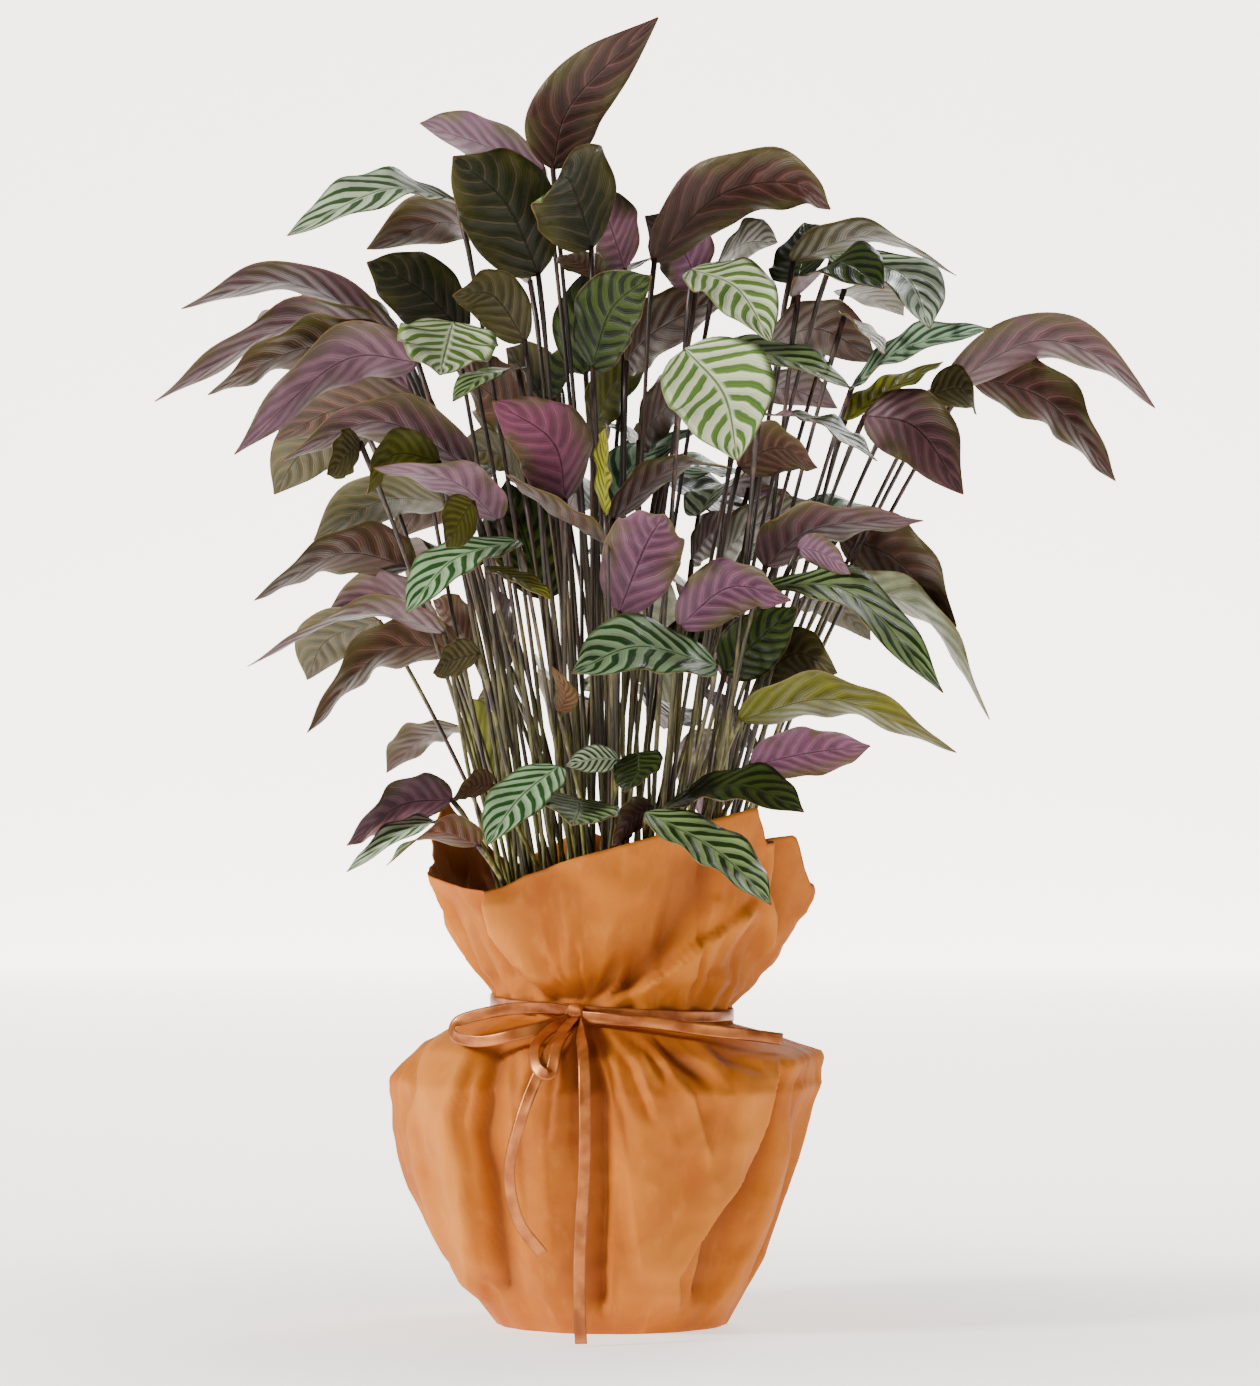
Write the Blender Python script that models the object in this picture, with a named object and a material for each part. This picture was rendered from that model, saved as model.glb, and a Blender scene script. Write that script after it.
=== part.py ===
"""A tall prayer plant in its nursery pot, the pot wrapped in gathered paper and tied with a satin ribbon.

Metres, +Z up. The origin is on the floor under the middle of the pot, and -Y points to the viewer.
Every leafy stem is one solid: a sheath that stands in a hole in the soil, with two to five long leaf
stalks and their blades. The blades are listed in centimetres where they are seen from the front.
"""

import math
from itertools import product

import bmesh
import bpy
from mathutils import Matrix, Vector
from mathutils.bvhtree import BVHTree

CM = 0.01
GAP = 0.0003

# The front view that the leaf list is drawn in: the eye's place, so that a leaf set nearer or
# further away still covers the same spot.
EYE = Vector((1.4, -460.0, 47.5)) * CM

# Pot and soil
POT_BASE_RADIUS = 8.0 * CM
POT_RIM_RADIUS = 11.2 * CM
POT_LIP_RADIUS = 11.6 * CM
POT_HEIGHT = 20.5 * CM
POT_LIP_HEIGHT = 1.2 * CM
POT_WALL = 0.15 * CM
POT_SIDES = 28
DRAIN_HOLES = 6
DRAIN_RADIUS = 0.6 * CM
DRAIN_RING = 5.4 * CM
SOIL_TOP = 19.0 * CM
SOIL_CROWN = 0.4 * CM

# Paper wrap: height and radius of its outside up to the neck, in centimetres
PAPER = 0.12 * CM
WRAP_COLUMNS = 40
SKIRT = [(0.0, 8.7), (5.0, 12.1), (10.0, 14.3), (14.5, 15.6), (18.2, 16.3), (20.8, 14.9), (22.2, 12.0)]
NECK_RADIUS = 9.1
NECK_LEVELS = (23.1, 24.5)
NECK_TILT = -0.06
NECK_PLEAT = 0.45
SKIRT_LEAN = -0.9
# Main folds of the skirt: angle and width in degrees, depth in centimetres
FOLDS = [
    (20, 9, 1.0), (52, 8, 1.1), (88, 9, 0.9), (121, 8, 1.2), (150, 9, 0.9), (193, 7, 1.0),
    (212, 8, 0.8), (232, 7, 1.3), (268, 6, 0.8), (293, 7, 0.7), (316, 7, 1.1), (345, 7, 0.9),
]
# Collar above the neck: angle, height of the top edge, radius there
COLLAR = [
    (0, 32.4, 15.0), (18, 33.5, 14.6), (45, 36.0, 14.2), (72, 34.2, 13.4), (99, 36.8, 13.8),
    (126, 34.0, 13.2), (144, 37.6, 14.0), (153, 39.2, 14.0), (171, 34.8, 14.0), (189, 33.6, 13.6),
    (216, 32.6, 11.6), (225, 32.8, 12.6), (252, 35.0, 12.6), (279, 36.6, 12.6), (306, 38.2, 12.9),
    (324, 39.0, 13.3), (333, 36.2, 12.4), (346, 36.9, 14.1),
]
COLLAR_STEPS = (0.3, 0.65, 1.0)

# Ribbon
RIBBON_WIDTH = 0.9 * CM
RIBBON_THICKNESS = 0.08 * CM
# Loops and tails: points on the middle line in centimetres, as (x, y, z)
RIBBON_STRANDS = {
    "loop": [(-2.8, -9.6, 23.9), (-5.4, -10.4, 24.3), (-8.6, -9.9, 24.0), (-11.4, -9.4, 23.2),
             (-11.6, -10.2, 22.2), (-9.6, -12.0, 21.9), (-6.4, -12.8, 22.6), (-2.8, -9.7, 23.5)],
    "small_loop": [(-3.0, -9.6, 23.4), (-4.6, -12.6, 22.7), (-5.6, -15.1, 21.6), (-5.4, -16.6, 20.2),
                   (-4.4, -16.8, 19.9), (-3.9, -15.3, 21.9), (-2.6, -9.7, 23.2)],
    "left_tail": [(-2.7, -9.7, 23.6), (-3.6, -12.9, 22.6), (-4.8, -16.0, 20.8), (-6.4, -16.9, 17.0),
                  (-7.4, -16.7, 13.0), (-6.8, -16.4, 9.2), (-5.0, -16.2, 6.6)],
    "middle_tail": [(-2.5, -9.7, 23.3), (-2.3, -13.2, 22.5), (-2.0, -16.4, 20.7), (-1.9, -17.4, 16.5),
                    (-2.0, -17.5, 12.0), (-2.3, -17.4, 7.0), (-2.3, -17.3, 3.0), (-2.2, -17.2, 0.2)],
}
KNOT_ANGLE = 252.0
KNOT_HEIGHT = 23.9
KNOT_BACK = 9.16
KNOT_SIZE = (1.3, 1.9, 1.5)

# Leafy stems
SHEATH_RADIUS = 0.55 * CM
SHEATH_SIDES = 6
SHEATH_DEPTH = 2.5 * CM
SHEATH_HEIGHT = 4.0 * CM
STALK_SPREAD = 0.22 * CM
STALK_FOOT = 0.17 * CM
STALK_TOP = 0.14 * CM
STALK_STEPS = 3
STALK_BEND = 1.5
ROOT_REACH = 6.6 * CM
ROOT_SPACING = 1.75 * CM
ROOT_DRAW = 0.4
STALK_SINK = 1.2 * CM
STEM_COLOURS = {"under": (0.13, 0.07, 0.09), "top": (0.12, 0.25, 0.09)}
# Along a blade: share of its length, share of its half width
BLADE = [(0.09, 0.55), (0.34, 0.98), (0.66, 0.93), (0.89, 0.46)]
BLADE_THICKNESS = 0.14 * CM
BLADE_FOLD = 0.14
BLADE_WAVE = 0.05
TRUE_WIDTH_SHARE = 0.36
TRUE_WIDTH_MOST = 5.5
# A leaf that would cross another is moved in depth, with its stalk bowed, until it lies clear
CLEARANCE = 0.07 * CM
DEPTH_MOVES = range(-10, 11)
STALK_BOWS = [(0, 0), (0, 1), (0, -1), (1, 0), (-1, 0), (0, 2), (0, -2), (2, 0), (-2, 0), (0, 3.5), (0, -3.5)]


# The leaves of each stem as seen from the front, in centimetres: the middle line from its foot to its
# tip as (across, up), the width seen, the face seen, and the depth at the foot and at the tip
STEMS = {
    "shoot_01": [
        ([(-4.5, 87), (-3, 92), (3.5, 98.5)], 5, "under", -2, -6),
        ([(-5, 87), (-10, 89), (-14.5, 90.5)], 3, "under", 0, 8),
        ([(1, 79.5), (0, 82.5), (-1, 85.5)], 3.5, "under", 2, 12.5),
        ([(6.5, 78.5), (5, 81.5), (2.5, 83.5)], 4.5, "under", -1, 10),
    ],
    "shoot_02": [
        ([(-5.5, 79), (-8, 84.5), (-12, 88)], 7, "under", -4, -15),
        ([(-1.5, 81), (-2.5, 84.5), (-3.5, 86.5), (-5, 85)], 7, "under", -5, -16),
        ([(-6, 78.5), (-12, 83), (-18.5, 81)], 2.5, "under", 0, 5.5),
        ([(-7, 72), (-9.5, 71.5), (-12, 69.5)], 1.5, "top", -6, -14),
    ],
    "shoot_03": [
        ([(3, 80), (8, 85), (13.5, 86), (16.5, 84)], 4.5, "under", -3, -7.5),
        ([(-2, 71.5), (-1, 78), (3.5, 80.5)], 3, "top", -4, 4),
        ([(-1.5, 72), (0, 76.5), (3, 79)], 4, "top", -7, -15.5),
        ([(1, 72.5), (3.5, 75), (9.5, 78)], 3.5, "under", -2, 6),
        ([(8, 80), (10, 81.5), (12.5, 81.5)], 2, "under", 3, 11.5),
    ],
    "shoot_04": [
        ([(6, 79.5), (9.5, 78), (12, 74)], 4.5, "top", -6, -17),
        ([(5.5, 73.5), (8.5, 70), (9.5, 65)], 7.5, "top", -9, -20),
        ([(5.5, 73.5), (12, 73), (18, 70.5)], 2, "top", -7, -14.5),
        ([(11, 73.5), (15.5, 75), (20, 72.5)], 3.5, "under", -3, 4.5),
    ],
    "shoot_05": [
        ([(16.5, 80.5), (22, 79), (24, 75)], 3.5, "top", -6, -16),
        ([(13.5, 80), (19.5, 82), (26, 79)], 1, "under", -2, -8),
        ([(14, 78.5), (14.5, 80.5), (14.5, 83)], 3.5, "top", 1, 11),
        ([(14, 77.5), (17, 80), (20.5, 78)], 2, "top", -4, -13.5),
        ([(17.5, 78), (19.5, 77.5), (22, 76)], 1.5, "under", 2, 10.5),
    ],
    "shoot_06": [
        ([(9, 73), (15, 76.5), (25, 75)], 2, "under", -6, -10),
        ([(17.5, 76), (19, 75), (20.5, 73)], 1, "top", -9, -15),
        ([(18, 70.5), (22, 73.5), (28.5, 75)], 2, "top", -9, -16.5),
        ([(9.5, 69.5), (13, 70.5), (17, 69)], 2.5, "under", 0, 7.5),
    ],
    "shoot_07": [
        ([(25, 70.5), (31.5, 74), (36.5, 73), (41, 69)], 3, "under", -4, -8.5),
        ([(27, 71.5), (33, 69.5), (38, 63.5)], 3.5, "under", -1, -8.5),
        ([(24, 70), (26.5, 70.5), (27.5, 68.5)], 2, "under", -6, -12.5),
        ([(17.5, 68), (21, 70.5), (25, 72.5)], 1.5, "top", -4, 1),
    ],
    "shoot_08": [
        ([(19, 68.5), (23, 67.5), (26.5, 62.5)], 5, "under", -8, -18.5),
        ([(21.5, 69.5), (23.5, 69), (25.5, 68)], 2, "under", -2, 5),
        ([(11, 68.5), (15.5, 68), (20, 65)], 1, "top", -10, -16),
        ([(14, 54.5), (17, 54), (19.5, 51.5)], 2.5, "under", -3, 3.5),
    ],
    "shoot_09": [
        ([(-11.5, 84.5), (-17, 85.5), (-24.5, 82)], 3, "top", -5, -15),
        ([(-11, 74.5), (-14.5, 78), (-18.5, 80)], 5, "under", -4, -14),
        ([(-6.5, 74), (-9, 77.5), (-12, 77.5)], 3.5, "under", -8, -15),
    ],
    "shoot_10": [
        ([(-16, 74.5), (-24.5, 78.5), (-32.5, 76.5)], 2, "under", -2, -4.5),
        ([(-17, 75), (-23, 77), (-27.5, 75)], 2, "top", 2, 10),
        ([(-15.5, 73.5), (-23.5, 75.5), (-34.5, 69.5)], 2, "under", -5, -5),
        ([(-16, 73.5), (-23.5, 73.5), (-30.5, 70)], 2.5, "under", -8, -13),
    ],
    "shoot_11": [
        ([(-14.5, 72.5), (-20.5, 72.5), (-28.5, 65.5)], 3.5, "under", -10, -13),
        ([(-13, 68), (-16, 70.5), (-20.5, 70.5)], 2.5, "under", -3, 4),
        ([(-14.5, 69.5), (-20.5, 69), (-25.5, 66.5)], 3.5, "under", -5, 0.5),
        ([(-12, 75.5), (-12.5, 73.5), (-13, 71.5)], 7, "top", -9, -20),
    ],
    "shoot_12": [
        ([(-10.5, 64.5), (-17.5, 68), (-25, 65)], 3, "under", -7, -13.5),
        ([(-18.5, 67.5), (-23, 66), (-25.5, 62.5)], 4, "under", 0, 7.5),
        ([(-19, 66.5), (-20, 65.5), (-21.5, 64)], 2, "under", -4, -11),
        ([(-13, 65), (-16.5, 65.5), (-18.5, 62.5)], 2.5, "under", -10, -15.5),
    ],
    "shoot_13": [
        ([(-8.5, 60.5), (-12, 63.5), (-18, 64.5)], 2.5, "under", -9, -16.5),
        ([(-12.5, 62), (-17.5, 62), (-22.5, 59)], 3, "under", -4, 3),
        ([(-10.5, 62), (-11.5, 60.5), (-12.5, 58.5)], 2.5, "under", -11, -18),
    ],
    "shoot_14": [
        ([(-15, 57), (-20.5, 58), (-27, 54.5)], 2.5, "under", -5, -12.5),
        ([(-16, 58.5), (-19, 59), (-22, 58.5)], 1.5, "under", 0, 9),
        ([(-12.5, 52), (-19, 53.5), (-27.5, 49.5)], 1, "under", -8, -12.5),
    ],
    "shoot_15": [
        ([(-13, 53), (-17, 55), (-21.5, 53.5)], 3, "under", -2, 5),
        ([(-17.5, 53), (-21.5, 51.5), (-23, 48.5)], 3.5, "under", 1, 9),
        ([(-11.5, 51), (-17.5, 50.5), (-23, 44.5)], 2.5, "under", -9, -14),
        ([(-10, 50.5), (-12, 50), (-13.5, 49)], 2, "under", -11, -16.5),
    ],
    "shoot_16": [
        ([(-7, 59), (-12, 57.5), (-15.5, 53.5)], 3, "top", -11, -20),
        ([(-9.5, 57), (-7, 56), (-4.5, 54.5)], 1, "top", -9, -13.5),
        ([(-10.5, 50.5), (-12, 53), (-13.5, 54.5)], 2.5, "under", 1, 8),
    ],
    "shoot_17": [
        ([(-5, 54.5), (-6.5, 59), (-8, 63.5)], 4.5, "top", 6, 15),
        ([(-3.5, 62), (-4.5, 66.5), (-9, 69.5)], 5.5, "under", -8, -19),
        ([(-4, 70), (-3, 74), (-1, 78.5)], 1.5, "top", 3, 11),
        ([(-1, 79), (-2.5, 80), (-4, 80.5)], 1.5, "under", -1, -7),
    ],
    "shoot_18": [
        ([(0.5, 53.5), (2.5, 58.5), (4, 61)], 5.5, "under", -8, -19),
        ([(-1.5, 67), (0, 70.5), (3, 73)], 3, "under", -5, 4),
        ([(-0.5, 60.5), (2, 65), (6.5, 67.5)], 3, "top", -3, 5),
        ([(0, 60.5), (4.5, 64.5), (9, 64.5)], 1.5, "under", -6, -12),
    ],
    "shoot_19": [
        ([(8, 49.5), (2, 51), (-3, 49)], 4, "top", -11, -20.5),
        ([(5, 52.5), (9, 55.5), (13.5, 54.5)], 4, "under", -9, -16.5),
        ([(8.5, 49), (11, 51.5), (14, 54)], 3.5, "top", -5, -11.5),
    ],
    "shoot_20": [
        ([(11, 55.5), (18, 55), (25, 47.5)], 3, "top", -9, -15.5),
        ([(16.5, 56), (23.5, 53.5), (28.5, 45.5)], 1.5, "under", -5, -10.5),
        ([(11.5, 57), (15.5, 60), (23.5, 60.5)], 3, "under", -7, -14.5),
    ],
    "shoot_21": [
        ([(17, 59.5), (21.5, 57.5), (26, 52.5)], 4, "under", -2, -10),
        ([(8, 57.5), (10.5, 60), (15, 62)], 2.5, "under", -3, 4),
        ([(6, 57.5), (7.5, 59.5), (9.5, 60.5)], 2.5, "under", 2, 9.5),
        ([(14, 58.5), (16, 58), (18, 56.5)], 2, "under", -10, -15.5),
    ],
    "shoot_22": [
        ([(9.5, 64.5), (12.5, 66), (15.5, 64.5)], 3, "under", -4, -11.5),
        ([(11, 48.5), (14, 50.5), (17, 49)], 3.5, "under", -3, -10),
        ([(12.5, 49.5), (11, 48.5), (9, 47)], 2.5, "top", 0, 5.5),
        ([(9.5, 45.5), (17, 47), (26, 43)], 2.5, "under", -9, -13),
    ],
    "shoot_23": [
        ([(10.5, 42), (15, 43), (19.5, 43.5)], 3.5, "under", -8, -15),
        ([(4, 39), (9.5, 40.5), (14.5, 38.5)], 2, "top", -8, -15),
        ([(2.5, 38.5), (8, 35.5), (12, 31.5)], 3, "top", -12, -18.5),
        ([(11, 43), (9, 45.5), (6.5, 48)], 1.5, "under", -2, 2.5),
    ],
    "shoot_24": [
        ([(-4, 42), (-7, 39.5), (-9.5, 36)], 3.5, "top", -11, -20),
        ([(-2.5, 39.5), (-2.5, 38.5), (-3, 37.5)], 5.5, "top", -9, -18.5),
        ([(0.5, 42.5), (-1.5, 42.5), (-3.5, 42)], 2, "top", -12, -16),
        ([(2, 43), (2, 41.5), (1, 40)], 2.5, "top", -9, -16.5),
    ],
    "shoot_25": [
        ([(-8.5, 40), (-10, 44), (-11.5, 47)], 3, "under", -6, 3),
        ([(-11.5, 45), (-14.5, 44), (-17, 41.5)], 2, "under", 0, 6),
        ([(-9, 40.5), (-10.5, 40.5), (-12, 39.5)], 1.5, "under", -8, -13),
    ],
    "shoot_26": [
        ([(-12, 39.5), (-16, 39), (-20, 36)], 3, "under", -7, -15),
        ([(-10.5, 37), (-14.5, 37.5), (-20, 34)], 1, "top", -9, -16),
        ([(-10, 36), (-13.5, 37), (-17, 34.5)], 1, "under", -12, -18.5),
    ],
    "shoot_27": [
        ([(-4, 46), (-3.5, 47.5), (-4.5, 49.5)], 1.5, "under", -9, -12.5),
        ([(3, 39), (1.5, 38), (0, 36)], 2, "under", -8, -13.5),
        ([(0, 58.5), (-4, 61), (-8, 64)], 1, "under", -7, -14),
        ([(-0.5, 61), (-0.5, 64.5), (-0.5, 67.5)], 1, "top", -9, -14),
    ],
    "shoot_28": [
        ([(-5.5, 66.5), (-8.5, 69.5), (-12, 72.5)], 4, "under", 4, 15),
        ([(-4, 67.5), (-6, 71), (-8, 73.5)], 3.5, "under", 7, 17.5),
        ([(2, 66.5), (4, 69), (7, 70.5)], 3, "under", 3, 13),
    ],
}

# Stems of the side that the front view does not show, as copies of front stems: the stem, its turn
# about the pot's axis in degrees, and the shares of its reach and of its height
BACK_STEMS = [
    ("shoot_10", -72, 0.85, 0.88), ("shoot_12", -104, 0.9, 0.95), ("shoot_07", 112, 0.72, 0.96),
    ("shoot_06", 78, 0.85, 0.84), ("shoot_20", 101, 0.9, 1.0), ("shoot_14", -88, 0.8, 1.1),
    ("shoot_23", 130, 1.0, 1.15), ("shoot_15", -118, 0.9, 0.95), ("shoot_09", -95, 0.8, 0.86),
]


def make_object(name, mesh):
    piece = bpy.data.objects.new(name, mesh)
    bpy.context.scene.collection.objects.link(piece)
    return piece


def closed_mesh(name, points, faces):
    """A mesh from points and faces, with every face pointing outwards."""
    mesh = bpy.data.meshes.new(name)
    mesh.from_pydata([tuple(p) for p in points], [], faces)
    shape = bmesh.new()
    shape.from_mesh(mesh)
    bmesh.ops.recalc_face_normals(shape, faces=shape.faces)
    shape.to_mesh(mesh)
    shape.free()
    return mesh


def finish(piece, colour, roughness):
    """Gives a piece a material of its own."""
    material = bpy.data.materials.new(piece.name)
    material.use_nodes = True
    shader = material.node_tree.nodes["Principled BSDF"]
    shader.inputs["Base Color"].default_value = (*colour, 1.0)
    shader.inputs["Roughness"].default_value = roughness
    piece.data.materials.clear()
    piece.data.materials.append(material)
    return piece


def apply_boolean(piece, others, operation, folded=False):
    """One Boolean with a collection of other solids, which are then removed."""
    group = bpy.data.collections.new(piece.name + "_parts")
    bpy.context.scene.collection.children.link(group)
    for other in others:
        for home in list(other.users_collection):
            home.objects.unlink(other)
        group.objects.link(other)
    modifier = piece.modifiers.new("join", "BOOLEAN")
    modifier.operation = operation
    modifier.solver = "MANIFOLD" if folded else "EXACT"
    modifier.operand_type = "COLLECTION"
    modifier.collection = group
    bpy.context.view_layer.update()
    result = bpy.data.meshes.new_from_object(piece.evaluated_get(bpy.context.evaluated_depsgraph_get()))
    piece.modifiers.clear()
    piece.data = result
    for other in others:
        bpy.data.objects.remove(other)
    bpy.data.collections.remove(group)


def turned(name, profile, sides):
    """A solid turned from (radius, height) points; a radius of 0 closes on the axis."""
    points = []
    rings = []
    for radius, height in profile:
        if radius == 0:
            rings.append([len(points)])
            points.append((0, 0, height))
            continue
        rings.append([len(points) + k for k in range(sides)])
        for k in range(sides):
            angle = math.tau * k / sides
            points.append((radius * math.cos(angle), radius * math.sin(angle), height))
    faces = []
    for low, high in zip(rings, rings[1:] + rings[:1]):
        for k in range(sides):
            corners = [low[k % len(low)], low[(k + 1) % len(low)], high[(k + 1) % len(high)], high[k % len(high)]]
            corners = list(dict.fromkeys(corners))
            if len(corners) > 2:
                faces.append(corners)
    return make_object(name, closed_mesh(name, points, faces))


def between(table, value):
    """Reads a table of (place, number, ...) rows by straight lines between them."""
    for low, high in zip(table, table[1:]):
        if low[0] <= value <= high[0]:
            share = (value - low[0]) / (high[0] - low[0])
            return [a + (b - a) * share for a, b in zip(low[1:], high[1:])]
    return list(table[-1][1:])


def curve_point(points, share):
    """A smooth curve through the points, at a share from 0 to 1 of its run."""
    spans = len(points) - 1
    place = min(share * spans, spans - 1e-6)
    k = int(place)
    u = place - k
    before = points[k - 1] if k else 2 * points[0] - points[1]
    after = points[k + 2] if k + 2 < len(points) else 2 * points[-1] - points[-2]
    a, b = points[k], points[k + 1]
    return 0.5 * (2 * a + (b - before) * u + (2 * before - 5 * a + 4 * b - after) * u * u
                  + (3 * a - before - 3 * b + after) * u ** 3)



def ring_solid(rings, closed_foot=True, tip=None):
    """Points and triangles of a loft through rings of the same count; quads are split alike all along."""
    points = [p for ring in rings for p in ring]
    count = len(rings[0])
    faces = []
    for r in range(len(rings) - 1):
        for k in range(count):
            a, b = r * count + k, r * count + (k + 1) % count
            c, d = b + count, a + count
            faces += [(a, b, c), (a, c, d)] if k % 2 == 0 else [(a, b, d), (b, c, d)]
    if closed_foot:
        faces.append(tuple(range(count))[::-1])
    last = (len(rings) - 1) * count
    if tip is None:
        faces.append(tuple(last + k for k in range(count)))
    else:
        points.append(tip)
        faces += [(last + k, last + (k + 1) % count, len(points) - 1) for k in range(count)]
    return points, faces


def make_pot():
    """A thin nursery pot with a lip and drain holes."""
    floor = PAPER + GAP
    lip = floor + POT_HEIGHT - POT_LIP_HEIGHT
    top = floor + POT_HEIGHT
    profile = [
        (0, floor), (POT_BASE_RADIUS, floor), (POT_RIM_RADIUS, lip), (POT_LIP_RADIUS, lip),
        (POT_LIP_RADIUS, top), (POT_RIM_RADIUS - POT_WALL, top), (POT_RIM_RADIUS - POT_WALL, lip),
        (POT_BASE_RADIUS - POT_WALL, floor + POT_WALL), (0, floor + POT_WALL),
    ]
    pot = turned("nursery_pot", profile, POT_SIDES)
    drains = []
    for k in range(DRAIN_HOLES):
        angle = math.tau * k / DRAIN_HOLES
        drain = turned("drain", [(0, -CM), (DRAIN_RADIUS, -CM), (DRAIN_RADIUS, CM), (0, CM)], 8)
        drain.location = (DRAIN_RING * math.cos(angle), DRAIN_RING * math.sin(angle), floor)
        drains.append(drain)
    apply_boolean(pot, drains, "DIFFERENCE")
    return finish(pot, (0.03, 0.03, 0.03), 0.5)


def make_soil(roots):
    """The pot's filling, with one plain hole for each stem."""
    bottom = PAPER + 2 * GAP + POT_WALL
    slope = (POT_RIM_RADIUS - POT_BASE_RADIUS) / (POT_HEIGHT - POT_LIP_HEIGHT)
    low = POT_BASE_RADIUS - POT_WALL - 2 * GAP
    profile = [(0, bottom), (low, bottom), (low + slope * (SOIL_TOP - bottom), SOIL_TOP), (0, SOIL_TOP + SOIL_CROWN)]
    soil = turned("soil", profile, POT_SIDES)
    holes = []
    for root in roots:
        radius = SHEATH_RADIUS + 2 * GAP
        depth = SHEATH_DEPTH + GAP
        hole = turned("hole", [(0, -depth), (radius, -depth), (radius, 2 * CM), (0, 2 * CM)], SHEATH_SIDES)
        hole.location = (root.x, root.y, SOIL_TOP)
        holes.append(hole)
    apply_boolean(soil, holes, "DIFFERENCE")
    return finish(soil, (0.06, 0.04, 0.03), 0.95)


def ring_between(table, angle):
    """Reads a table of (angle, ...) rows that runs once round."""
    rows = [*table, (table[0][0] + 360, *table[0][1:])]
    return between(rows, angle)


def skirt_radius(angle, height):
    """The paper's outside radius under the neck, with its folds, in centimetres."""
    swell = math.sin(math.pi * min(height / 22.0, 1.0))
    radius = between([*SKIRT, (NECK_LEVELS[0], NECK_RADIUS)], height)[0]
    radius += SKIRT_LEAN * math.cos(math.radians(angle)) * swell
    for place, width, depth in FOLDS:
        away = (angle - place + 180) % 360 - 180
        radius -= depth * math.exp(-(away / width) ** 2) * (0.15 + 0.85 * swell)
    return radius


def make_wrap():
    """The paper: a flat bottom, a skirt round the pot, a gathered neck and a flared collar, all one wall."""
    outside = []
    for k in range(WRAP_COLUMNS):
        angle = 360 * k / WRAP_COLUMNS
        pleat = NECK_PLEAT if k % 2 else 0.0
        column = [(skirt_radius(angle, z), z) for z, _ in SKIRT]
        tilt = NECK_TILT * NECK_RADIUS * math.cos(math.radians(angle))
        column += [(NECK_RADIUS - pleat, z + tilt) for z in NECK_LEVELS]
        top, flare = ring_between(COLLAR, angle)
        foot = NECK_LEVELS[1] + tilt
        for step in COLLAR_STEPS:
            radius = NECK_RADIUS + (flare - NECK_RADIUS) * step ** 0.8 - pleat * (1 - step)
            column.append((radius, foot + (top - foot) * step))
        outside.append((math.radians(angle), column))
    levels = len(outside[0][1])
    rings = []
    for level in range(levels):
        rings.append([Vector((column[level][0] * math.cos(a), column[level][0] * math.sin(a), column[level][1]))
                      * CM for a, column in outside])
    for level in reversed(range(levels)):
        ring = []
        for a, column in outside:
            radius, height = column[level]
            low, high = column[max(level - 1, 0)], column[min(level + 1, levels - 1)]
            run = math.hypot(high[0] - low[0], high[1] - low[1])
            inward = PAPER / CM * run / max(abs(high[1] - low[1]), 0.45 * run)
            lift = PAPER / CM if level == 0 else 0
            ring.append(Vector(((radius - inward) * math.cos(a), (radius - inward) * math.sin(a), height + lift)) * CM)
        rings.append(ring)
    points, faces = ring_solid(rings)
    wrap = make_object("paper_wrap", closed_mesh("paper_wrap", points, faces))
    return finish(wrap, (0.58, 0.17, 0.05), 0.7)


def strap(name, points, width, thickness, closed=False):
    """A flat strip along the points, standing on its edge where it runs sideways."""
    rings = []
    count = len(points)
    for k, point in enumerate(points):
        before = points[k - 1] if k or closed else point
        after = points[(k + 1) % count] if k + 1 < count or closed else point
        along = (after - before).normalized()
        outward = Vector((point.x, point.y, 0)).normalized()
        across = along.cross(outward).normalized()
        face = across.cross(along)
        corners = [(1, 1), (-1, 1), (-1, -1), (1, -1)]
        rings.append([point + across * (i * width / 2) + face * (j * thickness / 2) for i, j in corners])
    if not closed:
        return make_object(name, closed_mesh(name, *ring_solid(rings)))
    flat = [p for ring in rings for p in ring]
    faces = []
    for k in range(count):
        for c in range(4):
            a, b = 4 * k + c, 4 * k + (c + 1) % 4
            step = 4 * ((k + 1) % count) - 4 * k
            faces.append((a, b, b + step, a + step))
    return make_object(name, closed_mesh(name, flat, faces))


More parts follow.
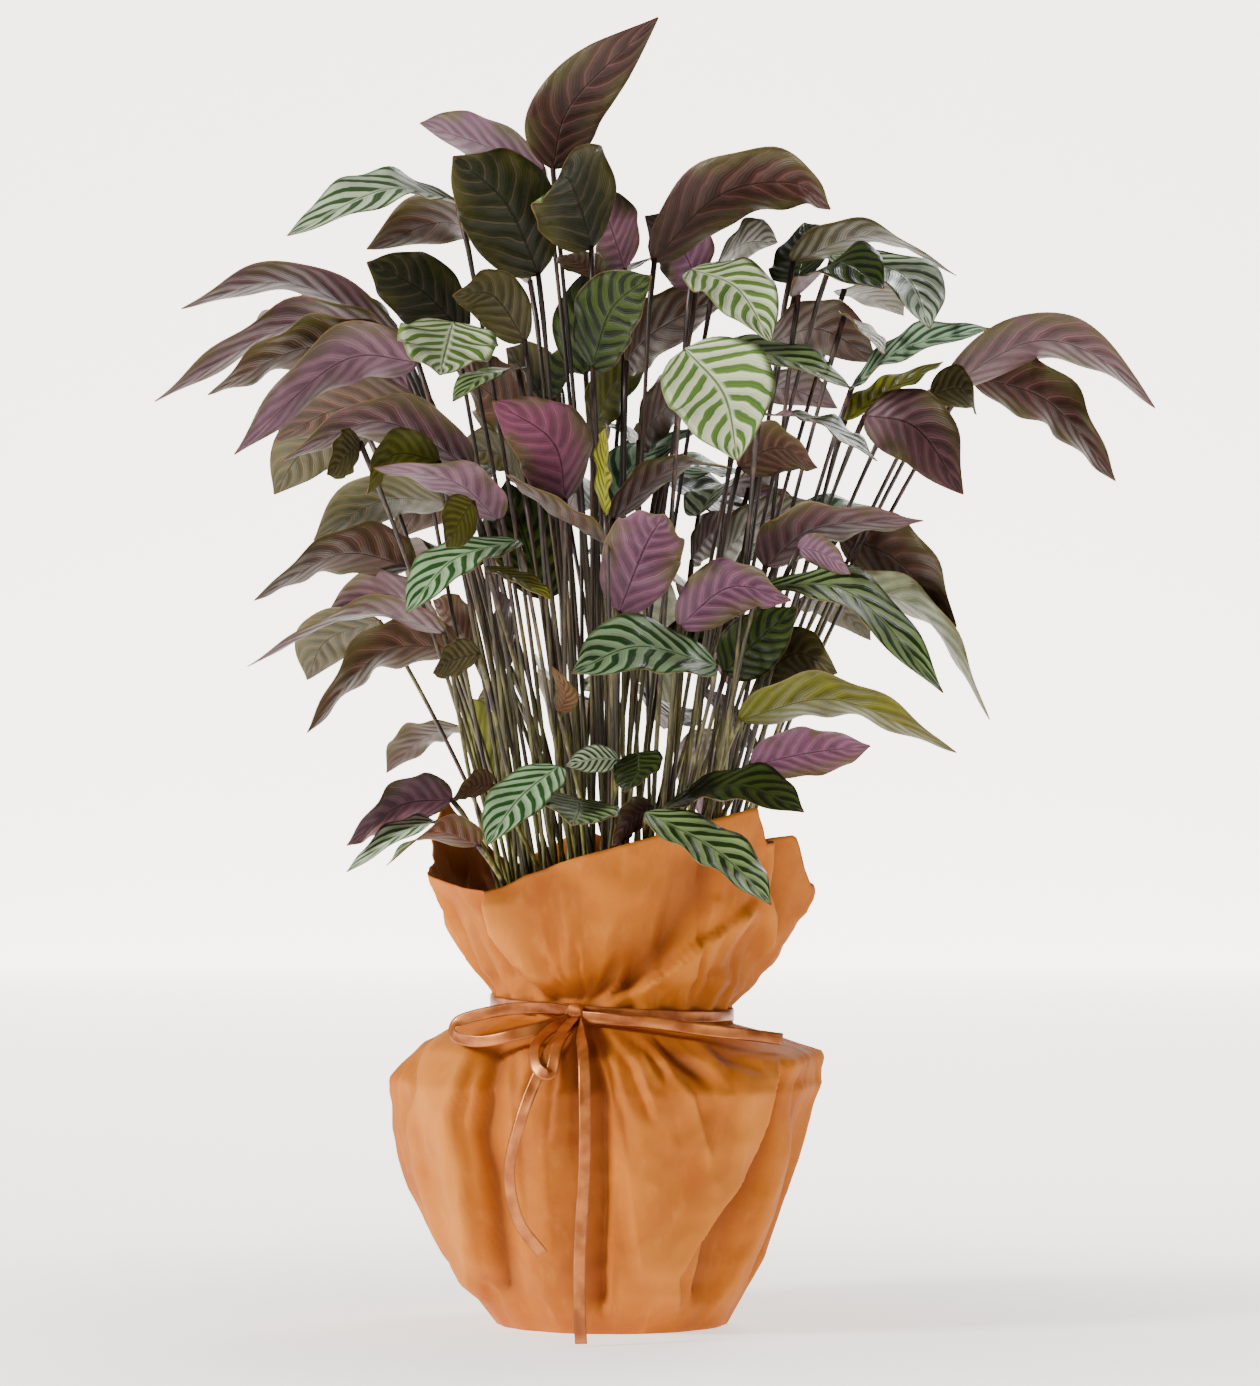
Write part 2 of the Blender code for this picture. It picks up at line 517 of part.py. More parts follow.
def make_ribbon():
    """The ribbon: a band round the neck, a knot, two loops and two tails, joined in one solid."""
    radius = NECK_RADIUS * CM + GAP + RIBBON_THICKNESS / 2 + 0.02 * CM
    sides = WRAP_COLUMNS // 2
    level = sum(NECK_LEVELS) / 2 * CM
    ring = []
    for k in range(sides):
        angle = math.tau * k / sides
        ring.append(Vector((radius * math.cos(angle), radius * math.sin(angle), 0)))
        ring[-1].z = level + NECK_TILT * ring[-1].x
    band = strap("ribbon", ring, RIBBON_WIDTH, RIBBON_THICKNESS, closed=True)
    parts = []
    for name, places in RIBBON_STRANDS.items():
        route = [Vector(p) * CM for p in places]
        steps = round(1.5 * (len(route) - 1))
        smooth = [curve_point(route, k / steps) for k in range(steps + 1)]
        parts.append(strap(name, smooth, RIBBON_WIDTH, RIBBON_THICKNESS))
    turn = Matrix.Rotation(math.radians(KNOT_ANGLE), 3, "Z")
    middle = turn @ Vector((KNOT_BACK + KNOT_SIZE[0] / 2, 0, KNOT_HEIGHT)) * CM
    bpy.ops.mesh.primitive_cube_add(size=1, location=middle, rotation=(0, 0, math.radians(KNOT_ANGLE)))
    knot = bpy.context.object
    knot.scale = Vector(KNOT_SIZE) * CM
    bpy.ops.object.transform_apply(location=True, rotation=True, scale=True)
    shape = bmesh.new()
    shape.from_mesh(knot.data)
    bmesh.ops.bevel(shape, geom=shape.edges[:], offset=0.4 * CM, segments=1, affect="EDGES")
    shape.to_mesh(knot.data)
    shape.free()
    apply_boolean(band, [*parts, knot], "UNION", folded=True)
    return finish(band, (0.6, 0.33, 0.17), 0.35)


def seen_at(across, up, depth):
    """The place at a depth that covers a spot of the front view, all in centimetres."""
    share = (depth * CM - EYE.y) / -EYE.y
    return Vector((EYE.x + (across * CM - EYE.x) * share, depth * CM, EYE.z + (up * CM - EYE.z) * share))


def blade_line(leaf, move):
    """The points of a blade's middle line in space."""
    spots, _, _, foot, tip = leaf
    last = len(spots) - 1
    return [seen_at(x, z, foot + (tip - foot) * (k / last) ** 1.2 + move) for k, (x, z) in enumerate(spots)]


def blade_facing(line, seen, face):
    """The blade's true width, and the direction that its upper face points in halfway along."""
    along = (curve_point(line, 0.6) - curve_point(line, 0.4)).normalized()
    length = sum((b - a).length for a, b in zip(line, line[1:]))
    width = max(seen * CM, min(TRUE_WIDTH_SHARE * length, TRUE_WIDTH_MOST * CM))
    chord = line[-1] - line[0]
    plane = Vector((-chord.z, 0, chord.x)).normalized()
    plane = (plane - along * plane.dot(along)).normalized()
    other = along.cross(plane)
    cosine = seen * CM / width
    sine = math.sqrt(1 - cosine * cosine)
    away = 1 if face == "under" else -1
    choices = [other * cosine * i + plane * sine * j for i, j in product((1, -1), repeat=2)]
    choices = [c for c in choices if c.y * away > -1e-6] or choices
    return width, max(choices, key=lambda c: c.z)


def turned_along(vector, before, after):
    """Carries a direction from one stretch of a curve to the next with no twist."""
    return before.rotation_difference(after) @ vector


def leaf_rings(root, line, width, facing, bow, grow=0.0):
    """Rings of four points from the stalk's foot to the blade's tip, and the tip."""
    foot = line[0]
    reach = foot - root
    stalk = []
    for k in range(STALK_STEPS + 1):
        share = k / STALK_STEPS
        out = share ** STALK_BEND
        swell = math.sin(math.pi * share) * CM
        stalk.append(root + Vector((reach.x * out + bow[0] * swell, reach.y * out + bow[1] * swell,
                                    reach.z * share)))
    centres = stalk + [curve_point(line, share) for share, _ in BLADE]
    count = len(centres)
    runs = [(centres[min(k + 1, count - 1)] - centres[max(k - 1, 0)]).normalized() for k in range(count)]
    runs[-1] = (line[-1] - centres[-2]).normalized()
    middle = STALK_STEPS + 1 + len(BLADE) // 2
    faces = {middle: (facing - runs[middle] * facing.dot(runs[middle])).normalized()}
    for k in range(middle + 1, count):
        faces[k] = turned_along(faces[k - 1], runs[k - 1], runs[k])
    for k in reversed(range(middle)):
        faces[k] = turned_along(faces[k + 1], runs[k + 1], runs[k])
    rings = []
    for k, centre in enumerate(centres):
        up = faces[k]
        side = up.cross(runs[k])
        if k <= STALK_STEPS:
            half = STALK_FOOT + (STALK_TOP - STALK_FOOT) * k / STALK_STEPS + grow
            edges = (-half, half)
            lift = (0.0, 0.0)
            thick = half
        else:
            share = BLADE[k - STALK_STEPS - 1][1]
            half = width / 2 * share + grow
            wave = BLADE_WAVE * width * (1 if k % 2 else -1) * share
            edges = (-half, half)
            lift = (BLADE_FOLD * half + wave, BLADE_FOLD * half - wave)
            thick = BLADE_THICKNESS / 2 + grow
        rings.append([centre + side * edges[0] + up * lift[0], centre + up * thick,
                      centre + side * edges[1] + up * lift[1], centre - up * thick])
    return rings, line[-1]


def shape_tree(points, faces, above=None):
    """A search tree of a shape's faces, or of those above a height."""
    if above is not None:
        faces = [f for f in faces if min(points[i].z for i in f) > above]
    return BVHTree.FromPolygons(points, faces)


def crosses_itself(points, faces):
    tree = shape_tree(points, faces)
    return any(not set(faces[a]) & set(faces[b]) for a, b in tree.overlap(tree))


def set_leaf(leaf, move, pose):
    """A leaf's middle line, width and facing, moved in depth and then turned and scaled for its stem."""
    turn, reach, rise = pose
    line = blade_line(leaf, move)
    width, facing = blade_facing(line, leaf[1], leaf[2])
    spin = Matrix.Rotation(math.radians(turn), 3, "Z")
    scale = Vector((reach, reach, rise))
    return [spin @ (p * scale) for p in line], width, spin @ facing


def place_leaf(leaf, pose, root, stem, taken):
    """Finds the first depth and bow at which a leaf lies clear of all that is there."""
    choices = sorted(product(DEPTH_MOVES, STALK_BOWS), key=lambda c: abs(c[0]) + 1.5 * math.hypot(*c[1]))
    upper = SOIL_TOP + SHEATH_HEIGHT + 4 * CM
    for apart, (move, bow) in product((True, False), choices):
        line, width, facing = set_leaf(leaf, move, pose)
        foot = root + Vector((line[0].x - root.x, line[0].y - root.y, 0)).normalized() * STALK_SPREAD
        rings, tip = leaf_rings(foot, line, width, facing, bow, CLEARANCE)
        points, faces = ring_solid(rings, tip=tip)
        whole = shape_tree(points, faces)
        top = shape_tree(points, faces, upper)
        if any(whole.overlap(full) for owner, full, _ in taken if owner != stem):
            continue
        if apart and any(top.overlap(high) for owner, _, high in taken if owner == stem):
            continue
        rings, tip = leaf_rings(foot, line, width, facing, bow)
        points, faces = ring_solid(rings, tip=tip)
        if crosses_itself(points, faces):
            continue
        taken.append((stem, shape_tree(points, faces), shape_tree(points, faces, upper)))
        return points, faces
    return None


def find_roots(stems):
    """Where each stem stands: below the middle of its leaves, drawn in, and spaced apart."""
    roots = []
    for leaves, pose in stems.values():
        feet = [set_leaf(leaf, 0, pose)[0][0] for leaf in leaves]
        middle = sum(feet, Vector()) / len(feet)
        roots.append(Vector((middle.x * ROOT_DRAW, middle.y * ROOT_DRAW, 0)))
    for _ in range(60):
        for k, one in enumerate(roots):
            for other in roots[:k]:
                apart = one - other
                if apart.length < ROOT_SPACING:
                    push = (apart.normalized() if apart.length > 1e-6 else Vector((1, 0, 0)))
                    push *= (ROOT_SPACING - apart.length) / 2
                    one += push
                    other -= push
        for root in roots:
            if root.length > ROOT_REACH:
                root *= ROOT_REACH / root.length
    return roots


def make_sheath(name, root, lean):
    """The sheath at a stem's foot, from the bottom of its hole to where its stalks part."""
    levels = [(-SHEATH_DEPTH, 1.0), (0.5 * CM, 1.0), (SHEATH_HEIGHT, 0.8)]
    rings = []
    for height, share in levels:
        shift = lean * max(height, 0) ** STALK_BEND
        centre = root + Vector((shift.x, shift.y, SOIL_TOP + height))
        rings.append([centre + Vector((math.cos(math.tau * k / SHEATH_SIDES), math.sin(math.tau * k / SHEATH_SIDES), 0))
                      * SHEATH_RADIUS * share for k in range(SHEATH_SIDES)])
    return ring_solid(rings)


def make_stems(wrap, ribbon):
    """Every leafy stem, each one solid, with the list of where they stand."""
    stems = {name: (leaves, (0, 1.0, 1.0)) for name, leaves in STEMS.items()}
    for k, (source, turn, reach, rise) in enumerate(BACK_STEMS):
        stems[f"shoot_{len(STEMS) + k + 1:02d}"] = (STEMS[source], (turn, reach, rise))
    roots = find_roots(stems)
    taken = []
    for piece in (wrap, ribbon):
        points = [v.co.copy() for v in piece.data.vertices]
        faces = [tuple(p.vertices) for p in piece.data.polygons]
        tree = shape_tree(points, faces)
        taken.append((piece.name, tree, tree))
    sheaths = {}
    for (name, (leaves, pose)), root in zip(stems.items(), roots):
        feet = [set_leaf(leaf, 0, pose)[0][0] for leaf in leaves]
        middle = sum(feet, Vector()) / len(feet)
        lean = (middle - root) / (middle.z - SOIL_TOP) ** STALK_BEND
        sheaths[name] = make_sheath(name, root, lean)
        tree = shape_tree(*sheaths[name])
        taken.append((name, tree, shape_tree(*sheaths[name], above=1.0)))
    jobs = []
    for (name, (leaves, pose)), root in zip(stems.items(), roots):
        foot = Vector((root.x, root.y, SOIL_TOP + SHEATH_HEIGHT - STALK_SINK))
        jobs += [(leaf, pose, foot, name) for leaf in leaves]
    blades = {name: [] for name in stems}
    for leaf, pose, foot, name in sorted(jobs, key=lambda job: -job[0][1]):
        placed = place_leaf(leaf, pose, foot, name, taken)
        if placed:
            blades[name].append(make_object(f"{name}_leaf", closed_mesh("leaf", *placed)))
    for name, (leaves, pose) in stems.items():
        stem = make_object(name, closed_mesh(name, *sheaths[name]))
        apply_boolean(stem, blades[name], "UNION")
        finish(stem, STEM_COLOURS[leaves[0][2]], 0.45)
    return roots


def main():
    for old in list(bpy.data.objects):
        bpy.data.objects.remove(old)
    wrap = make_wrap()
    ribbon = make_ribbon()
    make_pot()
    roots = make_stems(wrap, ribbon)
    make_soil(roots)


main()
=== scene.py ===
"""Dresses a wrapped prayer plant: striped leaves, dark stalks, gathered paper and a satin ribbon.

Metres, +Z up, the origin on the floor under the middle of the pot, -Y towards the viewer. Leaves are
listed in centimetres as the front view shows them, and each is laid where its solid is in the frame.
"""

import math
import random
from itertools import accumulate, product

import bpy
from mathutils import Matrix, Vector, kdtree, noise


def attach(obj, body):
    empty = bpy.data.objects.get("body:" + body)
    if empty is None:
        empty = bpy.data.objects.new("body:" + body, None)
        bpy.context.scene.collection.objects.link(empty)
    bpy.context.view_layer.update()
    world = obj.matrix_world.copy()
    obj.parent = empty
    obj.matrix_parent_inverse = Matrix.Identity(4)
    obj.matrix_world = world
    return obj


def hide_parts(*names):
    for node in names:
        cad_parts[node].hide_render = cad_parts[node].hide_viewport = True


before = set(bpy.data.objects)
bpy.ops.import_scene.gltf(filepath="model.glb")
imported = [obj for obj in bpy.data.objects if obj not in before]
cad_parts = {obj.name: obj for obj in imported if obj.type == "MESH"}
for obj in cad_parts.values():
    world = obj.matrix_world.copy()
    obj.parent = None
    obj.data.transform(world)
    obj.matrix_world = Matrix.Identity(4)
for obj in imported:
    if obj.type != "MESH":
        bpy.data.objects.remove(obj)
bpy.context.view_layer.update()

CM = 0.01

# The front view that the leaf list is drawn in
EYE = Vector((1.4, -460.0, 47.5)) * CM

# Stems and blades, as the solids have them, and how near to its solid's tip a leaf has to end
SOIL_TOP = 19.0 * CM
SHEATH_HEIGHT = 4.0 * CM
STALK_SINK = 1.2 * CM
STALK_SPREAD = 0.22 * CM
STALK_BEND = 1.5
DEPTH_BEND = 1.2
TRUE_WIDTH_SHARE = 0.36
TRUE_WIDTH_MOST = 5.5
DEPTH_MOVES = range(-10, 11)
STALK_BOWS = [
    (0, 0), (0, 1), (0, -1), (1, 0), (-1, 0), (0, 2), (0, -2), (2, 0), (-2, 0), (0, 3.5), (0, -3.5),
]
TIP_MATCH = 0.03 * CM

# The visible stalk with its swollen foot and joint, how far it reaches into its blade, and the sheath, which
# is a little thinner than its solid
STALK_RADIUS = 0.16 * CM
STALK_SIDES = 8
STALK_ROWS = 18
FOOT_SWELL = 0.5
FOOT_FALL = 3.0
JOINT_START = 0.93
JOINT_SWELL = 0.35
BLADE_REACH = 0.03
SHEATH_RADIUS = 0.5 * CM
SHEATH_SINK = 1.0 * CM
SHEATH_REACH = 1.5 * CM
SHEATH_TAPER = 0.45
SHEATH_LEAN = 0.08

# The visible blade: its grid, how full its foot and its sides are, its drip tip, fold and side veins, and
# the ranges that differ from leaf to leaf
BLADE_ROWS = 32
BLADE_COLUMNS = 12
BLADE_THICKNESS = 0.05 * CM
BLADE_FOOT = 0.78
BLADE_SIDES = 0.66
DRIP_START = 0.72
DRIP_DRAW = 0.55
BLADE_FOLD = 0.14
FOLD_CURVE = 1.4
BLADE_LEAST_HALF = 0.06 * CM
VEINS = 8.0
VEIN_SLANT = 1.3
VEIN_LIFT = 0.03 * CM
EDGE_WAVE = (0.03, 0.07)
EDGE_WAVES = (2.2, 3.6)
EDGE_CURL = (-0.03, 0.05)
SHADES = (0.88, 1.12)

# How much wider a blade is than its solid, by tone, to fill the body of the plant
FULLER = {"dark": 1.3, "brown": 1.2, "olive": 1.18, "yellow": 1.15, "lime": 1.15}
FULLER_OTHERS = 1.06

# The leaves of each stem as seen from the front: the middle line from its foot to its tip as (across, up),
# the width seen, the tone of the face seen, and the depth at the foot and at the tip
STEMS = [
    [
        ([(-4.5, 87), (-3, 92), (3.5, 98.5)], 5, "maroon", -2, -6),
        ([(-5, 87), (-10, 89), (-14.5, 90.5)], 3, "violet", 0, 8),
        ([(1, 79.5), (0, 82.5), (-1, 85.5)], 3.5, "pink", 2, 12.5),
        ([(6.5, 78.5), (5, 81.5), (2.5, 83.5)], 4.5, "violet", -1, 10),
    ],
    [
        ([(-5.5, 79), (-8, 84.5), (-12, 88)], 7, "black", -4, -15),
        ([(-1.5, 81), (-2.5, 84.5), (-3.5, 86.5), (-5, 85)], 7, "black", -5, -16),
        ([(-6, 78.5), (-12, 83), (-18.5, 81)], 2.5, "brown", 0, 5.5),
        ([(-7, 72), (-9.5, 71.5), (-12, 69.5)], 1.5, "green", -6, -14),
    ],
    [
        ([(3, 80), (8, 85), (13.5, 86), (16.5, 84)], 4.5, "maroon", -3, -7.5),
        ([(-2, 71.5), (-1, 78), (3.5, 80.5)], 3, "dark", -4, 4),
        ([(-1.5, 72), (0, 76.5), (3, 79)], 4, "dark", -7, -15.5),
        ([(1, 72.5), (3.5, 75), (9.5, 78)], 3.5, "brown", -2, 6),
        ([(8, 80), (10, 81.5), (12.5, 81.5)], 2, "olive", 3, 11.5),
    ],
    [
        ([(6, 79.5), (9.5, 78), (12, 74)], 4.5, "pale", -6, -17),
        ([(5.5, 73.5), (8.5, 70), (9.5, 65)], 7.5, "pale", -9, -20),
        ([(5.5, 73.5), (12, 73), (18, 70.5)], 2, "green", -7, -14.5),
        ([(11, 73.5), (15.5, 75), (20, 72.5)], 3.5, "brown", -3, 4.5),
    ],
    [
        ([(16.5, 80.5), (22, 79), (24, 75)], 3.5, "silver", -6, -16),
        ([(13.5, 80), (19.5, 82), (26, 79)], 1, "olive", -2, -8),
        ([(14, 78.5), (14.5, 80.5), (14.5, 83)], 3.5, "dark", 1, 11),
        ([(14, 77.5), (17, 80), (20.5, 78)], 2, "dark", -4, -13.5),
        ([(17.5, 78), (19.5, 77.5), (22, 76)], 1.5, "olive", 2, 10.5),
    ],
    [
        ([(9, 73), (15, 76.5), (25, 75)], 2, "mauve", -6, -10),
        ([(17.5, 76), (19, 75), (20.5, 73)], 1, "yellow", -9, -15),
        ([(18, 70.5), (22, 73.5), (28.5, 75)], 2, "teal", -9, -16.5),
        ([(9.5, 69.5), (13, 70.5), (17, 69)], 2.5, "mauve", 0, 7.5),
    ],
    [
        ([(25, 70.5), (31.5, 74), (36.5, 73), (41, 69)], 3, "mauve", -4, -8.5),
        ([(27, 71.5), (33, 69.5), (38, 63.5)], 3.5, "maroon", -1, -8.5),
        ([(24, 70), (26.5, 70.5), (27.5, 68.5)], 2, "olive", -6, -12.5),
        ([(17.5, 68), (21, 70.5), (25, 72.5)], 1.5, "yellow", -4, 1),
    ],
    [
        ([(19, 68.5), (23, 67.5), (26.5, 62.5)], 5, "mauve", -8, -18.5),
        ([(21.5, 69.5), (23.5, 69), (25.5, 68)], 2, "brown", -2, 5),
        ([(11, 68.5), (15.5, 68), (20, 65)], 1, "green", -10, -16),
        ([(14, 54.5), (17, 54), (19.5, 51.5)], 2.5, "olive", -3, 3.5),
    ],
    [
        ([(-11.5, 84.5), (-17, 85.5), (-24.5, 82)], 3, "silver", -5, -15),
        ([(-11, 74.5), (-14.5, 78), (-18.5, 80)], 5, "black", -4, -14),
        ([(-6.5, 74), (-9, 77.5), (-12, 77.5)], 3.5, "olive", -8, -15),
    ],
    [
        ([(-16, 74.5), (-24.5, 78.5), (-32.5, 76.5)], 2, "mauve", -2, -4.5),
        ([(-17, 75), (-23, 77), (-27.5, 75)], 2, "dark", 2, 10),
        ([(-15.5, 73.5), (-23.5, 75.5), (-34.5, 69.5)], 2, "pink", -5, -5),
        ([(-16, 73.5), (-23.5, 73.5), (-30.5, 70)], 2.5, "brown", -8, -13),
    ],
    [
        ([(-14.5, 72.5), (-20.5, 72.5), (-28.5, 65.5)], 3.5, "lilac", -10, -13),
        ([(-13, 68), (-16, 70.5), (-20.5, 70.5)], 2.5, "magenta", -3, 4),
        ([(-14.5, 69.5), (-20.5, 69), (-25.5, 66.5)], 3.5, "brown", -5, 0.5),
        ([(-12, 75.5), (-12.5, 73.5), (-13, 71.5)], 7, "pale", -9, -20),
    ],
    [
        ([(-10.5, 64.5), (-17.5, 68), (-25, 65)], 3, "mauve", -7, -13.5),
        ([(-18.5, 67.5), (-23, 66), (-25.5, 62.5)], 4, "olive", 0, 7.5),
        ([(-19, 66.5), (-20, 65.5), (-21.5, 64)], 2, "olive", -4, -11),
        ([(-13, 65), (-16.5, 65.5), (-18.5, 62.5)], 2.5, "lime", -10, -15.5),
    ],
    [
        ([(-8.5, 60.5), (-12, 63.5), (-18, 64.5)], 2.5, "lilac", -9, -16.5),
        ([(-12.5, 62), (-17.5, 62), (-22.5, 59)], 3, "olive", -4, 3),
        ([(-10.5, 62), (-11.5, 60.5), (-12.5, 58.5)], 2.5, "lime", -11, -18),
    ],
    [
        ([(-15, 57), (-20.5, 58), (-27, 54.5)], 2.5, "brown", -5, -12.5),
        ([(-16, 58.5), (-19, 59), (-22, 58.5)], 1.5, "olive", 0, 9),
        ([(-12.5, 52), (-19, 53.5), (-27.5, 49.5)], 1, "mauve", -8, -12.5),
    ],
    [
        ([(-13, 53), (-17, 55), (-21.5, 53.5)], 3, "pink", -2, 5),
        ([(-17.5, 53), (-21.5, 51.5), (-23, 48.5)], 3.5, "olive", 1, 9),
        ([(-11.5, 51), (-17.5, 50.5), (-23, 44.5)], 2.5, "brown", -9, -14),
        ([(-10, 50.5), (-12, 50), (-13.5, 49)], 2, "olive", -11, -16.5),
    ],
    [
        ([(-7, 59), (-12, 57.5), (-15.5, 53.5)], 3, "emerald", -11, -20),
        ([(-9.5, 57), (-7, 56), (-4.5, 54.5)], 1, "yellow", -9, -13.5),
        ([(-10.5, 50.5), (-12, 53), (-13.5, 54.5)], 2.5, "brown", 1, 8),
    ],
    [
        ([(-5, 54.5), (-6.5, 59), (-8, 63.5)], 4.5, "dark", 6, 15),
        ([(-3.5, 62), (-4.5, 66.5), (-9, 69.5)], 5.5, "magenta", -8, -19),
        ([(-4, 70), (-3, 74), (-1, 78.5)], 1.5, "dark", 3, 11),
        ([(-1, 79), (-2.5, 80), (-4, 80.5)], 1.5, "brown", -1, -7),
    ],
    [
        ([(0.5, 53.5), (2.5, 58.5), (4, 61)], 5.5, "violet", -8, -19),
        ([(-1.5, 67), (0, 70.5), (3, 73)], 3, "lime", -5, 4),
        ([(-0.5, 60.5), (2, 65), (6.5, 67.5)], 3, "teal", -3, 5),
        ([(0, 60.5), (4.5, 64.5), (9, 64.5)], 1.5, "maroon", -6, -12),
    ],
    [
        ([(8, 49.5), (2, 51), (-3, 49)], 4, "emerald", -11, -20.5),
        ([(5, 52.5), (9, 55.5), (13.5, 54.5)], 4, "violet", -9, -16.5),
        ([(8.5, 49), (11, 51.5), (14, 54)], 3.5, "dark", -5, -11.5),
    ],
    [
        ([(11, 55.5), (18, 55), (25, 47.5)], 3, "green", -9, -15.5),
        ([(16.5, 56), (23.5, 53.5), (28.5, 45.5)], 1.5, "ash", -5, -10.5),
        ([(11.5, 57), (15.5, 60), (23.5, 60.5)], 3, "mauve", -7, -14.5),
    ],
    [
        ([(17, 59.5), (21.5, 57.5), (26, 52.5)], 4, "brown", -2, -10),
        ([(8, 57.5), (10.5, 60), (15, 62)], 2.5, "olive", -3, 4),
        ([(6, 57.5), (7.5, 59.5), (9.5, 60.5)], 2.5, "mauve", 2, 9.5),
        ([(14, 58.5), (16, 58), (18, 56.5)], 2, "lilac", -10, -15.5),
    ],
    [
        ([(9.5, 64.5), (12.5, 66), (15.5, 64.5)], 3, "brown", -4, -11.5),
        ([(11, 48.5), (14, 50.5), (17, 49)], 3.5, "olive", -3, -10),
        ([(12.5, 49.5), (11, 48.5), (9, 47)], 2.5, "yellow", 0, 5.5),
        ([(9.5, 45.5), (17, 47), (26, 43)], 2.5, "lime", -9, -13),
    ],
    [
        ([(10.5, 42), (15, 43), (19.5, 43.5)], 3.5, "violet", -8, -15),
        ([(4, 39), (9.5, 40.5), (14.5, 38.5)], 2, "dark", -8, -15),
        ([(2.5, 38.5), (8, 35.5), (12, 31.5)], 3, "green", -12, -18.5),
        ([(11, 43), (9, 45.5), (6.5, 48)], 1.5, "mauve", -2, 2.5),
    ],
    [
        ([(-4, 42), (-7, 39.5), (-9.5, 36)], 3.5, "emerald", -11, -20),
        ([(-2.5, 39.5), (-2.5, 38.5), (-3, 37.5)], 5.5, "green", -9, -18.5),
        ([(0.5, 42.5), (-1.5, 42.5), (-3.5, 42)], 2, "silver", -12, -16),
        ([(2, 43), (2, 41.5), (1, 40)], 2.5, "dark", -9, -16.5),
    ],
    [
        ([(-8.5, 40), (-10, 44), (-11.5, 47)], 3, "lime", -6, 3),
        ([(-11.5, 45), (-14.5, 44), (-17, 41.5)], 2, "brown", 0, 6),
        ([(-9, 40.5), (-10.5, 40.5), (-12, 39.5)], 1.5, "brown", -8, -13),
    ],
    [
        ([(-12, 39.5), (-16, 39), (-20, 36)], 3, "lilac", -7, -15),
        ([(-10.5, 37), (-14.5, 37.5), (-20, 34)], 1, "silver", -9, -16),
        ([(-10, 36), (-13.5, 37), (-17, 34.5)], 1, "brown", -12, -18.5),
    ],
    [
        ([(-4, 46), (-3.5, 47.5), (-4.5, 49.5)], 1.5, "rust", -9, -12.5),
        ([(3, 39), (1.5, 38), (0, 36)], 2, "maroon", -8, -13.5),
        ([(0, 58.5), (-4, 61), (-8, 64)], 1, "brown", -7, -14),
        ([(-0.5, 61), (-0.5, 64.5), (-0.5, 67.5)], 1, "yellow", -9, -14),
    ],
    [
        ([(-5.5, 66.5), (-8.5, 69.5), (-12, 72.5)], 4, "brown", 4, 15),
        ([(-4, 67.5), (-6, 71), (-8, 73.5)], 3.5, "olive", 7, 17.5),
        ([(2, 66.5), (4, 69), (7, 70.5)], 3, "brown", 3, 13),
    ],
]

# Copies of front stems for the side that the front view does not show: the stem's number, its turn about
# the pot's axis in degrees, and the shares of its reach and of its height
BACK_STEMS = [
    (10, -72, 0.85, 0.88), (12, -104, 0.9, 0.95), (7, 112, 0.72, 0.96),
    (6, 78, 0.85, 0.84), (20, 101, 0.9, 1.0), (14, -88, 0.8, 1.1),
    (23, 130, 1.0, 1.15), (15, -118, 0.9, 0.95), (9, -95, 0.8, 0.86),
]

# Tones of the leaf faces: ground and stripe, as display colours from 0 to 255
TONES = {
    "top": {
        "silver": ((212, 228, 192), (62, 90, 48)), "emerald": ((158, 188, 142), (34, 76, 30)),
        "pale": ((222, 230, 186), (92, 126, 54)), "green": ((142, 166, 106), (32, 56, 16)),
        "teal": ((146, 172, 140), (46, 76, 48)), "dark": ((50, 64, 18), (16, 24, 4)),
        "yellow": ((150, 148, 44), (84, 88, 20)), "dry": ((150, 116, 70), (96, 64, 36)),
    },
    "under": {
        "mauve": ((110, 76, 82), (60, 38, 42)), "violet": ((122, 78, 102), (72, 42, 60)),
        "magenta": ((136, 68, 100), (82, 38, 62)), "pink": ((118, 78, 90), (68, 42, 50)),
        "lilac": ((154, 114, 134), (92, 60, 78)), "maroon": ((84, 48, 40), (42, 22, 18)),
        "brown": ((98, 66, 48), (50, 32, 22)), "olive": ((88, 80, 40), (44, 38, 18)),
        "black": ((44, 46, 14), (20, 22, 4)), "lime": ((120, 122, 30), (66, 62, 14)),
        "ash": ((156, 164, 130), (96, 96, 68)), "rust": ((126, 86, 52), (76, 48, 26)),
    },
}

# How much darker each face is painted, and the tones of the face that the front does not show
DEEPER = {"top": 0.88, "under": 0.64}
OTHER_TOP = ("green", "emerald", "silver", "dark")
OTHER_UNDER = ("mauve", "violet", "maroon", "brown")

# The paper wrap in centimetres: its skirt as (height, radius), the neck, how the sides lean, the folds as
# (angle, width in degrees, depth), and the collar as (angle, height of its edge, radius there)
PAPER = 0.1 * CM
PAPER_PROUD = 0.03
SKIRT = [(0, 8.7), (5, 12.1), (10, 14.3), (14.5, 15.6), (18.2, 16.3), (20.8, 14.9), (22.2, 12.0)]
NECK_RADIUS = 9.1
NECK_LEVELS = (23.1, 24.5)
NECK_TILT = -0.06
NECK_PLEAT = 0.45
NECK_PLEATS = 20
PLEAT_FADE = 1.6
COLLAR_FLARE = 0.8
SKIRT_SWELL_TOP = 22.0
SKIRT_LEAN = -0.9
SHOULDER = (0.8, 20.8, 1.6)
FOLD_LEAST = 0.15
FOLDS = [
    (20, 9, 1.0), (52, 8, 1.1), (88, 9, 0.9), (121, 8, 1.2), (150, 9, 0.9), (193, 7, 1.0), (212, 8, 0.8),
    (232, 7, 1.3), (268, 6, 0.8), (293, 7, 0.7), (316, 7, 1.1), (345, 7, 0.9),
]
